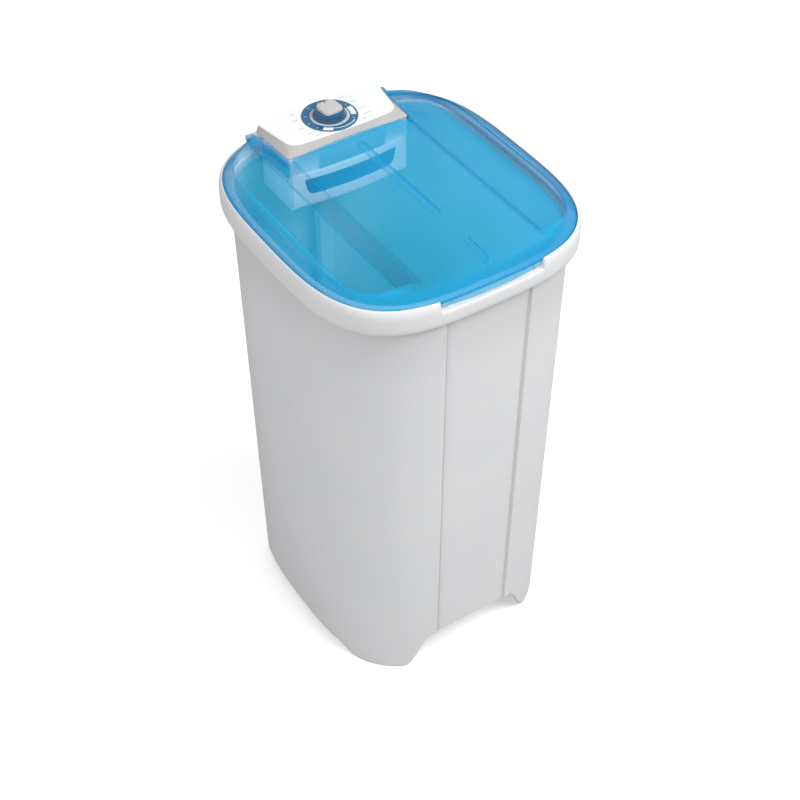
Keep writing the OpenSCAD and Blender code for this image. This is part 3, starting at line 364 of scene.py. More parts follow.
def enrol(piece: Thing, body: Body, replaced: Sequence[str] = ()) -> None:
    """Attach a piece to its body and hide the CAD nodes that it stands for."""
    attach(piece, body.value)
    if replaced:
        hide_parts(*replaced)
    LOG.info("built %s on %s", piece.name, body.value)


def carve(piece: Thing, cutters: Sequence[Mesh], folded: bool = False) -> None:
    """Subtract closed shapes from a piece and keep the result as its mesh.

    Args:
        piece: The object to cut.
        cutters: The shapes to take away, freed here.
        folded: Whether the piece may cross itself.
    """
    for cutter in cutters:
        tool = to_object("cutter", cutter, ())
        cut = piece.modifiers.new("cut", "BOOLEAN")
        cut.operation = "DIFFERENCE"
        cut.solver = "EXACT"
        cut.use_self = folded
        cut.object = tool
        graph = bpy.context.evaluated_depsgraph_get()
        done = bpy.data.meshes.new_from_object(piece.evaluated_get(graph))
        piece.modifiers.clear()
        old, piece.data, spent = piece.data, done, tool.data
        bpy.data.objects.remove(tool)
        bpy.data.meshes.remove(old)
        bpy.data.meshes.remove(spent)
    rework(piece, SHARP)


def rework(piece: Thing, angle: float, parts: Sequence[Mesh] = ()) -> None:
    """Add parts to a piece's mesh and shade it again."""
    bm = bmesh.new()
    bm.from_mesh(piece.data)
    for part in parts:
        absorb(bm, part)
    shade(bm, angle)
    bm.to_mesh(piece.data)
    bm.free()


def mark(piece: Thing, name: str, measure: Callable[[Vector], float]) -> None:
    """Store a value for every vertex, measured from its place in millimetres, for the materials."""
    layer = piece.data.attributes.new(name, "FLOAT", "POINT")
    layer.data.foreach_set("value", [measure(v.co / MM) for v in piece.data.vertices])


# Finishes


class Wires:
    """Short ways to add, feed and join shader nodes. A value is a socket, a number or a colour."""

    def __init__(self, tree: Tree) -> None:
        """Work on one node tree."""
        self.tree = tree

    def add(self, kind: str, **values) -> bpy.types.Node:
        """Add a node and set its properties."""
        node = self.tree.nodes.new(kind)
        for key, value in values.items():
            setattr(node, key, value)
        return node

    def feed(self, node: bpy.types.Node, inputs: dict) -> bpy.types.Node:
        """Set or join inputs of a node by name or number. Returns the node."""
        for key, value in inputs.items():
            if isinstance(value, Socket):
                self.tree.links.new(value, node.inputs[key])
            elif node.inputs[key].type == "RGBA":
                node.inputs[key].default_value = (*value, 1.0)
            else:
                node.inputs[key].default_value = value
        return node

    def sum(self, operation: str, *values) -> Socket:
        """A Math node. Returns its output."""
        return self.feed(self.add("ShaderNodeMath", operation=operation), dict(enumerate(values))).outputs[0]

    def blend(self, factor, a, b) -> Socket:
        """Mix two colours. Returns the result socket."""
        return self.feed(self.add("ShaderNodeMix", data_type="RGBA"), {0: factor, 6: a, 7: b}).outputs[2]

    def span(self, value, low: float, high: float, out_low: float, out_high: float) -> Socket:
        """Map a value from one range to another, clamped."""
        values = (value, low, high, out_low, out_high)
        return self.feed(self.add("ShaderNodeMapRange"), dict(enumerate(values))).outputs[0]

    def noise(self, place, scale, detail: float, rough: float = 0.5) -> Socket:
        """A noise texture at a place. Returns its value."""
        inputs = {"Vector": place, "Scale": scale, "Detail": detail, "Roughness": rough}
        return self.feed(self.add("ShaderNodeTexNoise"), inputs).outputs[0]

    def attribute(self, name: str) -> Socket:
        """Value that mark() stored on the mesh."""
        return self.add("ShaderNodeAttribute", attribute_name=name).outputs["Fac"]

    def light_path(self, ray: str) -> Socket:
        """1 for rays of one kind."""
        return self.add("ShaderNodeLightPath").outputs[ray]


def surface_group(name: str, build: Callable[[Wires, Socket, Socket], tuple]) -> Tree:
    """Make a shared node group that turns a place and a grain scale into a surface.

    Args:
        name: Name of the group.
        build: Makes the nodes from the wires, the place and the grain scale, and gives back the
            sockets of the tone, the height and the gloss.

    Returns:
        The node group.
    """
    tree = bpy.data.node_groups.new(name, "ShaderNodeTree")
    for key, kind in (("Vector", "NodeSocketVector"), ("Grain", "NodeSocketFloat")):
        tree.interface.new_socket(key, in_out="INPUT", socket_type=kind)
    keys = ("Tone", "Height", "Gloss")
    for key in keys:
        tree.interface.new_socket(key, in_out="OUTPUT", socket_type="NodeSocketFloat")
    w = Wires(tree)
    source = w.add("NodeGroupInput")
    made = build(w, source.outputs["Vector"], source.outputs["Grain"])
    w.feed(w.add("NodeGroupOutput"), dict(zip(keys, made)))
    return tree


def moulded(w: Wires, place: Socket, scale: Socket) -> tuple[Socket, Socket, Socket]:
    """Fine orange-peel grain, slow tone drift and uneven gloss of moulded plastic."""
    grain = w.noise(place, scale, 3.0)
    drift = w.noise(place, 5.0, 2.0)
    smear = w.noise(place, 26.0, 5.0, 0.65)
    tone = w.sum("ADD", w.sum("MULTIPLY", drift, 0.75), w.sum("MULTIPLY", grain, 0.25))
    height = w.sum("ADD", grain, w.sum("MULTIPLY", drift, 0.6))
    return tone, height, w.span(smear, 0.32, 0.68, 0.0, 1.0)


def brushed(w: Wires, place: Socket, scale: Socket) -> tuple[Socket, Socket, Socket]:
    """Fine turning marks and stains of machined or cast metal."""
    stretch = w.feed(w.add("ShaderNodeMapping"), {"Vector": place, "Scale": (0.15, 0.15, 1.0)})
    marks = w.noise(stretch.outputs[0], scale, 4.0)
    stain = w.noise(place, 30.0, 6.0)
    tone = w.sum("ADD", w.sum("MULTIPLY", stain, 0.6), w.sum("MULTIPLY", marks, 0.4))
    return tone, marks, w.span(stain, 0.3, 0.7, 0.0, 1.0)


class Coat(Wires):
    """A new material on a shared surface group, open for its colour."""

    def __init__(self, name: str, surface: Tree, grain: float, rough: Point, bump: Point) -> None:
        """Start the material with its gloss and its bumps.

        Args:
            name: Name of the material.
            surface: Shared surface group.
            grain: Scale of the fine grain.
            rough: Lowest and highest roughness.
            bump: Strength of the bumps, and their height in metres.
        """
        self.paint = bpy.data.materials.new(name)
        self.paint.use_nodes = True
        super().__init__(self.paint.node_tree)
        self.shader = self.tree.nodes["Principled BSDF"]
        self.place = self.add("ShaderNodeTexCoord").outputs["Object"]
        group = self.add("ShaderNodeGroup", node_tree=surface)
        self.feed(group, {"Vector": self.place, "Grain": grain})
        self.tone = group.outputs["Tone"]
        inputs = {"Strength": bump[0], "Distance": bump[1], "Height": group.outputs["Height"]}
        normal = self.feed(self.add("ShaderNodeBump"), inputs).outputs[0]
        self.set_shader(Roughness=self.span(group.outputs["Gloss"], 0.0, 1.0, *rough), Normal=normal)

    def set_shader(self, **inputs) -> Material:
        """Feed inputs of the shader, with _ for a space in their names. Returns the material."""
        self.feed(self.shader, {key.replace("_", " "): value for key, value in inputs.items()})
        return self.paint


@dataclass(frozen=True)
class Finish:
    """One surface finish.

    Attributes:
        name: Material name.
        dark: Colour where the tone is lowest, linear.
        light: Colour where the tone is highest, linear.
        rough: Lowest and highest roughness.
        grain: Scale of the fine grain.
        height: Height of the grain in metres.
        metallic: Metallic value of the shader.
        coat: Clear coat weight.
        painted_shade: How much darker the painted shade, a mesh attribute of the same name, makes the
            surface.
    """

    name: str
    dark: Triple
    light: Triple
    rough: Point
    grain: float
    height: float
    metallic: float = 0.0
    coat: float = 0.0
    painted_shade: float = 0.0

    def make(self, surface: Tree) -> Material:
        """Build the material on a shared surface group."""
        w = Coat(self.name, surface, self.grain, self.rough, (0.35, self.height))
        colour = w.blend(w.span(w.tone, 0.38, 0.62, 0.0, 1.0), self.dark, self.light)
        # Painted shade: where the stored attribute is high, the colour darkens towards a dimmed dark tone.
        if self.painted_shade > 0.0:
            dim = tuple(v * (1.0 - self.painted_shade) for v in self.dark)
            colour = w.blend(w.attribute("painted_shade"), colour, dim)
        return w.set_shader(Base_Color=colour, Metallic=self.metallic, Coat_Weight=self.coat)


FINISHES: tuple[Finish, ...] = (
    # The body's colour carries painted shade under the rim and beside the sunk panel's edges.
    Finish(
        "body_white", (0.735, 0.737, 0.743), (0.757, 0.758, 0.762), (0.36, 0.5), 650, 0.00001, painted_shade=0.32
    ),
    # The tub is white plastic; its cyan colour is painted light, standing in for the blue light that comes
    # through the lid.
    Finish("tub_white_painted_blue_light", (0.43, 0.75, 0.86), (0.47, 0.78, 0.88), (0.28, 0.4), 500, 0.00002),
    Finish("rim_white", (0.738, 0.741, 0.745), (0.748, 0.748, 0.751), (0.34, 0.38), 800, 0.000001),
    Finish("panel_white", (0.79, 0.79, 0.79), (0.83, 0.83, 0.825), (0.3, 0.4), 1100, 0.00001),
    Finish("bevel_grey", (0.43, 0.415, 0.40), (0.46, 0.445, 0.43), (0.28, 0.38), 1100, 0.00001),
    Finish("print_grey", (0.22, 0.28, 0.30), (0.38, 0.44, 0.46), (0.4, 0.5), 900, 0.00001),
    Finish("housing_tint", (0.74, 0.85, 0.95), (0.80, 0.89, 0.97), (0.2, 0.3), 700, 0.00002),
    Finish("drawer_white", (0.82, 0.88, 0.96), (0.86, 0.91, 0.97), (0.2, 0.3), 700, 0.00002),
    Finish("insert_blue", (0.0, 0.12, 0.40), (0.0, 0.15, 0.46), (0.18, 0.26), 700, 0.00002, coat=0.3),
    Finish("knob_blue", (0.0, 0.062, 0.15), (0.0, 0.085, 0.19), (0.22, 0.3), 900, 0.00001, coat=0.2),
    Finish("grip_grey", (0.47, 0.455, 0.45), (0.54, 0.525, 0.515), (0.3, 0.4), 1100, 0.00002),
    Finish("inlay_grey", (0.50, 0.49, 0.48), (0.62, 0.61, 0.60), (0.3, 0.4), 1100, 0.00001),
    Finish("disc_white", (0.70, 0.74, 0.78), (0.82, 0.85, 0.87), (0.26, 0.36), 500, 0.00002),
    Finish("cap_blue", (0.02, 0.17, 0.42), (0.03, 0.23, 0.52), (0.22, 0.3), 700, 0.00002),
    Finish("dark_plastic", (0.028, 0.03, 0.034), (0.05, 0.052, 0.058), (0.35, 0.5), 800, 0.00003),
    Finish("rubber_black", (0.012, 0.012, 0.012), (0.028, 0.028, 0.028), (0.6, 0.8), 1200, 0.00005),
    Finish("motor_paint", (0.20, 0.21, 0.23), (0.28, 0.29, 0.31), (0.3, 0.45), 500, 0.00005),
    Finish("steel", (0.50, 0.51, 0.52), (0.66, 0.66, 0.67), (0.22, 0.4), 300, 0.00002, metallic=1.0),
    Finish("cast_alloy", (0.36, 0.37, 0.38), (0.50, 0.50, 0.51), (0.42, 0.6), 180, 0.0001, metallic=1.0),
    Finish("bronze", (0.46, 0.29, 0.13), (0.60, 0.40, 0.20), (0.3, 0.45), 250, 0.00003, metallic=1.0),
    Finish("winding", (0.30, 0.13, 0.06), (0.45, 0.20, 0.09), (0.35, 0.5), 900, 0.0001, metallic=0.6),
)


@dataclass(frozen=True)
class LidFinish:
    """Translucent blue plastic, deeper where the sheet is thick or seen edge on, with painted shade that
    deepens it to the right.

    Attributes:
        shallow: Colour of the thin sheet, linear.
        deep: Colour of thick places, linear.
        cover: Opacity at the depths -0.5 and 1.
        shadow: Share of the opacity that holds light back.
        edge_on: How much depth a surface seen edge on gains.
        specular: Strength of the reflection.
    """

    shallow: Triple = (0.010, 0.485, 0.79)
    deep: Triple = (0.0, 0.22, 0.50)
    cover: Point = (0.05, 0.82)
    shadow: float = 0.35
    edge_on: float = 0.45
    specular: float = 0.24

    def make(self, surface: Tree) -> Material:
        """Build the material."""
        w = Coat("lid_blue_clear", surface, 140.0, (0.06, 0.13), (0.2, 0.00006))
        facing = w.feed(w.add("ShaderNodeLayerWeight"), {"Blend": 0.32}).outputs["Facing"]
        # The depth attribute also carries painted shade to the right and painted light to the left.
        thick = w.sum("ADD", w.attribute("depth"), w.span(facing, 0.25, 1.0, 0.0, self.edge_on))
        varied = w.sum("ADD", thick, w.span(w.tone, 0.4, 0.6, -0.04, 0.04))
        dark = w.span(w.light_path("Is Shadow Ray"), 0.0, 1.0, 1.0, self.shadow)
        return w.set_shader(
            Base_Color=w.blend(varied, self.shallow, self.deep),
            Alpha=w.sum("MULTIPLY", w.span(varied, HIDDEN, 1.0, *self.cover), dark),
            IOR=1.49,
            Specular_IOR_Level=self.specular,
        )


@dataclass(frozen=True)
class DialFinish:
    """Printed dial ring: dark blue with pale fields and plain ticks, set out by angle and radius.

    Attributes:
        centre: Middle of the dial in millimetres.
        blue: Darkest and lightest blue of the ring, linear.
        pale: Colour of the fields, linear.
        soft: Colour of the ticks, linear.
        fields: Pale fields as (middle angle, half angle, inner radius, outer radius), in degrees
            and millimetres.
        ticks: Pale ticks as (angle, inner radius, outer radius).
        tick_half: Half angle of a tick.
        spiral: First and last angle of the white line that winds outwards, and its radii there.
        spiral_half: Half width of that line.
        dots: Field of the fine dots.
        dot: Half turn from dot to dot, and half width of a dot, in degrees.
    """

    centre: Point
    blue: tuple[Triple, Triple] = ((0.0, 0.082, 0.19), (0.0, 0.115, 0.25))
    pale: Triple = (0.80, 0.84, 0.85)
    soft: Triple = (0.10, 0.42, 0.62)
    fields: tuple[tuple[float, float, float, float], ...] = (
        (-11.0, 17.5, 34.0, 42.5), (-124.5, 11.5, 35.5, 43.0),
    )
    ticks: tuple[Triple, ...] = (
        (18, 37, 42), (52, 37, 42), (86, 37, 42), (120, 37, 42), (154, 37, 41.5),
        (-175, 38, 42), (-150, 38, 42), (-43, 37, 42),
    )
    tick_half: float = 1.6
    spiral: tuple[float, float, float, float] = (-116.0, -50.0, 37.2, 42.2)
    spiral_half: float = 0.75
    dots: tuple[float, float, float, float] = (-92.0, 20.0, 42.4, 44.8)
    dot: Point = (4.0, 0.9)

    def make(self, surface: Tree) -> Material:
        """Build the material."""
        w = Coat("dial_print", surface, 900.0, (0.25, 0.34), (0.3, 0.00002))
        parts = w.feed(w.add("ShaderNodeSeparateXYZ"), {0: w.place})
        x, y = (w.sum("SUBTRACT", parts.outputs[i], self.centre[i] * MM) for i in range(2))
        angle = w.sum("DEGREES", w.sum("ARCTAN2", y, x))
        radius = w.sum("SQRT", w.sum("ADD", w.sum("MULTIPLY", x, x), w.sum("MULTIPLY", y, y)))

        def patch(middle: float, half: float, inner: float, outer: float) -> Socket:
            """1 inside a field of the ring."""
            turn = w.sum("COMPARE", angle, middle, half)
            across = w.sum("COMPARE", radius, (inner + outer) / 2 * MM, (outer - inner) / 2 * MM)
            return w.sum("MULTIPLY", turn, across)

        first, last, near, far = self.spiral
        line = w.span(angle, first, last, near * MM, far * MM)
        line = w.sum("COMPARE", radius, line, self.spiral_half * MM)
        pale = w.sum("MULTIPLY", line, w.sum("COMPARE", angle, (first + last) / 2, (last - first) / 2))
        for values in self.fields:
            pale = w.sum("MAXIMUM", pale, patch(*values))
        dots = w.sum("COMPARE", w.sum("PINGPONG", angle, self.dot[0]), 0.0, self.dot[1])
        soft = w.sum("MULTIPLY", dots, patch(*self.dots))
        for turn, inner, outer in self.ticks:
            soft = w.sum("MAXIMUM", soft, patch(turn, self.tick_half, inner, outer))
        blue = w.blend(w.span(w.tone, 0.35, 0.65, 0.0, 1.0), *self.blue)
        return w.set_shader(Base_Color=w.blend(pale, w.blend(soft, blue, self.soft), self.pale))


def make_paints(dial_centre: Point) -> Paints:
    """Make every material once, each kept by its slot's name or by its own."""
    plastic = surface_group("moulded_surface", moulded)
    metal = surface_group("metal_surface", brushed)
    paints = {f.name: f.make(metal if f.metallic > 0.0 else plastic) for f in FINISHES}
    paints[Slot.LID] = LidFinish().make(plastic)
    paints[Slot.DIAL] = DialFinish(dial_centre).make(plastic)
    return paints


class Builder:
    """Makes pieces from their sizes with the shared materials."""

    def __init__(self, sizes: object, paints: Paints) -> None:
        """Keep the sizes and the materials."""
        self.s = sizes
        self.paints = paints

    def piece(self, name: str, bm: Mesh, *colours: str, angle: float = SHARP) -> Thing:
        """New object from a mesh, with materials by name in the order of their indices."""
        return to_object(name, bm, [self.paints[colour] for colour in colours], angle)


# Cabinet


@dataclass(frozen=True)
class CabinetSizes:
    """Sizes of the cabinet.

    Attributes:
        arch: Arch of the front and the back, as its height, flat half width and foot.
        side_arch: The same for the two sides.
        ledge: Heights of the ledge inside, over the bottom guard.
        bosses: Bosses on the tub's back wall, as (across, bore radius, outer radius).
        boss_run: Front and back of the bosses.
        under_rim: Shade under the rim, as its strength, the height where it starts and its rise.
        corner: Shade beside the sunk panel's edge, as where it starts, where it fades and how fast.
        right_corner: Strength of that shade on the right, which faces the light.
    """

    rim_top: float = 860.0
    half_x: float = 225.0
    half_y: float = 254.0
    lean: float = 9.0
    power: float = 3.1
    wall: float = 3.5
    top: float = 851.0
    middle: float = 150.0
    recess_half: float = 76.0
    recess_deep: float = 5.0
    recess_edge: float = 1.6
    recess_reach: float = 30.0
    arch: Triple = (74.0, 84.0, 134.0)
    side_arch: Triple = (17.0, 120.0, 165.0)
    floor: float = 225.0
    floor_under: float = 221.0
    foot_zone: float = 78.0
    ledge: Point = (82.0, 86.0)
    ledge_inset: float = 15.5
    bosses: tuple[Triple, ...] = ((70.0, 16.2, 27.0), (-70.0, 8.4, 16.2))
    boss_run: Point = (236.0, 247.0)
    boss_height: float = 130.0
    under_rim: Triple = (0.42, 640.0, 180.0)
    corner: Triple = (-0.6, 2.4, 3.0)
    right_corner: float = 0.2


class Cabinet(Builder):
    """Outer walls, feet and tub in one moulding."""

    def __init__(self, sizes: CabinetSizes, paints: Paints) -> None:
        """Keep the sizes and place the points round the walls."""
        super().__init__(sizes, paints)
        self.oval = Oval(sizes.half_x, sizes.half_y, sizes.power)
        start = self.oval.inset(sizes.lean)

        def finer(x: float, y: float) -> float:
            """More points at the sunk panel's edges and over the arches' curves."""
            inside = sizes.recess_half * start.half_x / sizes.half_x - abs(x)
            if y < 0 and -7.0 < inside < 8.0:
                return 8.0
            if 78.0 < abs(x) < 140.0 and abs(y) > 150.0:
                return 2.2
            return 1.0

        self.angles = even_angles(start, SPACING, finer)
        self.bottom = [self.arch_height(*start.point(a)) for a in self.angles]

    def arch_height(self, x: float, y: float) -> float:
        """Height of the wall's lower edge at a point of the outline."""
        height = 0.0
        for (top, flat, foot), u in ((self.s.arch, abs(x)), (self.s.side_arch, abs(y))):
            t = clamp((foot - u) / (foot - flat))
            height = max(height, top * (1.0 - math.cos(math.pi * t)) / 2.0)
        return height

    def lean(self, z: float) -> float:
        """How far the walls lean in at a height."""
        return self.s.lean * (1.0 - z / self.s.rim_top)

    def recess(self, z: float) -> float:
        """Half width of the sunk panel at a height."""
        s = self.s
        return s.recess_half * (s.half_x - self.lean(z)) / s.half_x

    def ring(self, z: float, inset: float) -> Ring:
        """Loop of the wall at a height, inset from the outer face."""
        s = self.s
        ring: Ring = []
        for angle, low in zip(self.angles, self.bottom):
            real = low + z * (s.foot_zone - low) / s.foot_zone if z < s.foot_zone else z
            lean = self.lean(real)
            oval = self.oval.inset(lean + inset)
            x, y = oval.point(angle)
            if y < 0.0 and inset < s.recess_reach:
                outer = abs(x) * (s.half_x - lean) / oval.half_x
                y += s.recess_deep * smooth_step((self.recess(real) + inset - outer) / s.recess_edge + 0.5)
            ring.append((x, y, real))
        return ring

    def painted_shade(self, co: Vector) -> float:
        """How much painted shade darkens a point: shade painted under the rim and in the sunk panel's
        corners.
        """
        strength, start, rise = self.s.under_rim
        under = strength * smooth_step((co.z - start) / rise)
        edge, near, fade = self.s.corner
        inside = self.recess(co.z) - abs(co.x)
        if co.y > 0.0 or inside < edge:
            return under
        corner = smooth_step(1.0 - (inside - near) / fade)
        return max(under, corner if co.x < 0.0 else self.s.right_corner * corner)

    def build(self) -> None:
        """Make the whole moulding."""
        s = self.s
        low, high = s.ledge
        tub = [
            (s.floor, s.middle), (s.floor, 60.0), (s.floor, 30.0), (s.floor + 0.8, 17.0),
            (s.floor + 4.0, 9.5), (s.floor + 10.0, 5.0), (s.floor + 20.0, s.wall), (330.0, s.wall),
            (460.0, s.wall), (600.0, s.wall), (740.0, s.wall), (s.top - 0.6, s.wall),
            (s.top, s.wall - 0.6),
        ]
        plain = (800, 770, 740, 700, 560, 420, 280, 160, 100, 78, 60, 40, 20, 8, 1.6)
        outer = [(s.top, 0.6), (s.top - 0.6, 0.0)] + [(z, 0.0) for z in plain] + [(0.6, 0.25), (0.0, 0.9)]
        under = [
            (0.0, s.wall - 0.9), (0.6, s.wall - 0.2), (1.6, s.wall), (20.0, s.wall), (77.0, s.wall),
            (low, s.wall), (low, s.ledge_inset), (high, s.ledge_inset), (high, s.wall),
            (150.0, s.wall), (s.floor_under, s.wall), (s.floor_under, s.middle),
        ]
        rows = tub + outer + under
        paints = [1] * len(tub) + [0] * len(outer + under)
        bm = loft([self.ring(z, inset) for z, inset in rows], paints)
        front, back = s.boss_run
        for x, bore, radius in s.bosses:
            corners = [(bore, front, 0), (radius, front, 0), (radius, back, 1.2), (bore, back, 0.6)]
            boss = spin_profile(round_corners(corners, True, 2), (0.0, 0.0), 48)
            absorb(bm, move(boss, -90.0, "X", (x, 0.0, s.boss_height)))
        # The tub's faces take the white paint with painted blue light from the lid.
        piece = self.piece("cabinet_shell", bm, Slot.BODY, "tub_white_painted_blue_light")
        # Painted shade under the rim and beside the sunk panel's edges, stored for the body's material.
        mark(piece, "painted_shade", self.painted_shade)
        enrol(piece, Body.BASE, ("cabinet", "tub_floor"))


# Rim


@dataclass(frozen=True)
class RimSizes:
    """Sizes of the top rim."""

    half_x: float = 237.0
    half_y: float = 260.0
    power: float = 3.4
    top: float = 860.0
    low: float = 817.0
    seat: float = 854.0
    mouth: float = 22.0
    notch_half: float = 92.0
    notch_floor: float = 842.0
    notch_back: float = 9.6
    notch_end: float = 3.5


class Rim(Builder):
    """Rounded rim with the lid's seat and the lifting notch."""

    def __init__(self, sizes: RimSizes, paints: Paints) -> None:
        """Keep the sizes and place the points round the rim."""
        super().__init__(sizes, paints)
        self.oval = Oval(sizes.half_x, sizes.half_y, sizes.power)

        def finer(x: float, y: float) -> float:
            """More points at the notch's ends."""
            return 8.0 if y < 0 and abs(abs(x) - sizes.notch_half) < 4.0 else 1.0

        self.angles = even_angles(self.oval, SPACING, finer)

    def sections(self) -> tuple[list[Point], list[Point]]:
        """The rim's section and the notch's section, as (inset, height), point for point."""
        s = self.s
        skirt = [
            (3.2, s.low), (1.6, s.low), (0.5, s.low + 3.0), (0.0, s.low + 8.0), (0.0, s.low + 16.0),
        ]
        bead = [
            (0.0, 843.5), (0.25, 847.5), (0.9, 851.6), (2.0, 855.2), (3.1, 857.8), (4.1, 859.3),
            (5.0, s.top), (5.5, 859.7), (5.7, 858.9), (5.7, s.seat + 0.8), (6.4, s.seat), (9.6, s.seat),
        ]
        notch = [
            (0.0, 836.0), (0.15, 838.0), (0.5, 839.8), (1.1, 841.1), (1.9, 841.8), (2.8, s.notch_floor),
            (4.2, s.notch_floor), (5.8, s.notch_floor), (7.2, s.notch_floor), (8.4, 842.2),
            (9.3, 843.0), (s.notch_back, s.seat),
        ]
        inner = [
            (15.0, s.seat), (s.mouth - 1.2, s.seat), (s.mouth - 0.3, s.seat - 0.4),
            (s.mouth, s.seat - 1.4), (s.mouth, 836.0), (s.mouth - 0.6, 835.0), (s.mouth - 2.4, 835.0),
            (s.mouth - 3.0, 836.0), (s.mouth - 3.0, 851.0),
        ]
        plain = skirt + bead + inner + [(6.0, 851.0), (3.6, 845.0), (3.0, 832.0)]
        dipped = skirt + notch + inner + [(10.0, 839.5), (3.6, 838.5), (3.0, 832.0)]
        return plain, dipped

    def ring(self, plain: Point, dipped: Point) -> Ring:
        """One loop round the rim, dipping at the front notch."""
        s = self.s
        ring: Ring = []
        for angle in self.angles:
            x, y = self.oval.point(angle)
            dip = smooth_step((s.notch_half - abs(x)) / s.notch_end + 0.5) if y < 0 else 0.0
            spot = self.oval.inset(mix(plain[0], dipped[0], dip)).point(angle)
            ring.append((*spot, mix(plain[1], dipped[1], dip)))
        return ring

    def build(self) -> None:
        """Make the rim."""
        rings = [self.ring(a, b) for a, b in zip(*self.sections())]
        bm = loft(rings + rings[:1], hoop=True)
        piece = self.piece("rim_band", bm, Slot.RIM, angle=38.0)
        enrol(piece, Body.BASE, ("top_rim",))


# Lid


@dataclass(frozen=True)
class LidSizes:
    """Sizes of the lid."""

    half_x: float = 231.0
    half_y: float = 254.0
    power: float = 3.4
    low: float = 854.3
    edge: float = 857.0
    crest: float = 880.0
    slope_side: float = 26.0
    slope_front: float = 16.0
    crown: float = 890.5
    crown_side: float = 2.0
    plateau: float = 106.0
    ramp: float = 22.0
    wing_floor: float = 860.0
    wing_foot: Point = (197.0, 214.0)
    wing_top: Point = (199.6, 216.6)
    wing_power: float = 6.0
    core: Point = (150.0, 180.0)
    groove: Triple = (-113.0, 109.0, 6.0)
    short_groove: Triple = (-236.0, -181.0, 4.0)
    groove_deep: float = 1.0
    sheet: float = 2.5
    back: float = 238.5
    notch_half: float = 92.0
    tab_low: float = 848.0
    tab_out: float = 5.0
    flange_gap: float = 3.0
    flange_low: float = 850.0
    flange_back: float = 206.0
    flange_top: float = 880.2
    hinge: Point = (238.0, 868.5)
    ear: Point = (121.0, 129.0)
    ear_radius: float = 8.0
    ear_root: Triple = (212.0, 858.5, 876.0)
    join: float = 3.0
    groove_edge: float = 1.2
    low_share: float = 0.9985
    tab_share: float = 0.978


@dataclass(frozen=True)
class LidDepths:
    """How deep the blue looks over the lid: 0 on the sheet and 1 at sharp edges.

    Attributes:
        flange: On the two ends of the flange.
        tab: On the lifting tab.
        slope: On the sloping edge.
        groove: On the floor of a groove, and half width of its edge line.
        brow: On the crest round the wings at the sides, at the front, and its fall from there.
        ramp: Line at the ramp's foot and line at its top.
        ramp_line: Half width of these lines on the left and on the right.
        right: Painted shade: more depth, so a darker blue, towards the right.
        left: Painted light: less depth, so a paler blue, towards the left.
    """

    flange: float = 0.3
    tab: float = 0.15
    slope: float = 0.48
    groove: Point = (0.3, 1.4)
    brow: Triple = (0.8, 0.4, 150.0)
    ramp: Point = (0.85, 0.6)
    ramp_line: Point = (2.0, 3.2)
    right: float = 0.2
    left: float = 0.12


@dataclass(frozen=True)
class ConsoleSizes:
    """Sizes of the console's panel, dial, knob and drawer."""

    half_front: float = 111.0
    half_back: float = 117.0
    front: float = 138.0
    back: float = 241.0
    bow: float = 3.5
    low: float = 881.0
    top: float = 894.0
    back_gap: float = 19.0
    dial: Point = (-3.0, 192.0)
    ring: Point = (32.0, 46.0)
    ring_t: float = 0.8
    inlay_bore: float = 19.5
    knob_low: float = 895.3
    knob_seam: float = 906.3
    grip_top: float = 912.3
    grip_half: float = 17.8
    grip_power: float = 4.0
    grip_turn: float = 4.0
    pointer: Triple = (1.2, 10.5, 16.2)
    drawer_half: float = 103.0
    drawer_front_half: float = 106.2
    drawer: Point = (785.0, 846.0)
    drawer_back: float = 220.0
    drawer_bow: float = 10.0
    slot: Point = (804.0, 835.0)
    slot_half: float = 86.0
    cup_floor: float = 12.0
    cup_end: float = 155.0
    bin: tuple[Triple, Triple] = ((-99.0, 158.0, 789.0), (99.0, 216.5, 900.0))
    tick_half: float = 0.55
    ticks: tuple[Triple, ...] = (
        (163, 57, 10), (-172, 58, 9), (-153, 58, 9), (-139, 56, 9), (39, 55, 8),
        (16, 55, 10), (-9, 56, 10), (-25, 60, 13), (-41, 57, 7), (146, 60, 9),
    )


def bowed(half: float, front: float, bow: float) -> list[Point]:
    """A front edge from left to right that bows forward in its middle."""
    shares = [2 * i / 32 - 1 for i in range(33)]
    return [(half * u, front - bow * (1 - u**2)) for u in shares]


def console_line(c: ConsoleSizes, grow: float, y_end: float) -> list[Point]:
    """The console's outline from its left side round the front to its right side.

    Args:
        c: Console sizes.
        grow: Distance outside the panel's lower edge.
        y_end: How far back the two sides run.

    Returns:
        The line in plan.
    """
    slope = (c.half_back - c.half_front) / (c.back - c.front)
    half = c.half_front + grow
    side = []
    for k in range(8, 0, -1):
        side.append((half + slope * (y_end - c.front) * k / 8, mix(c.front, y_end, k / 8)))
    return [(-x, y) for x, y in side] + bowed(half, c.front - grow, c.bow) + side[::-1]


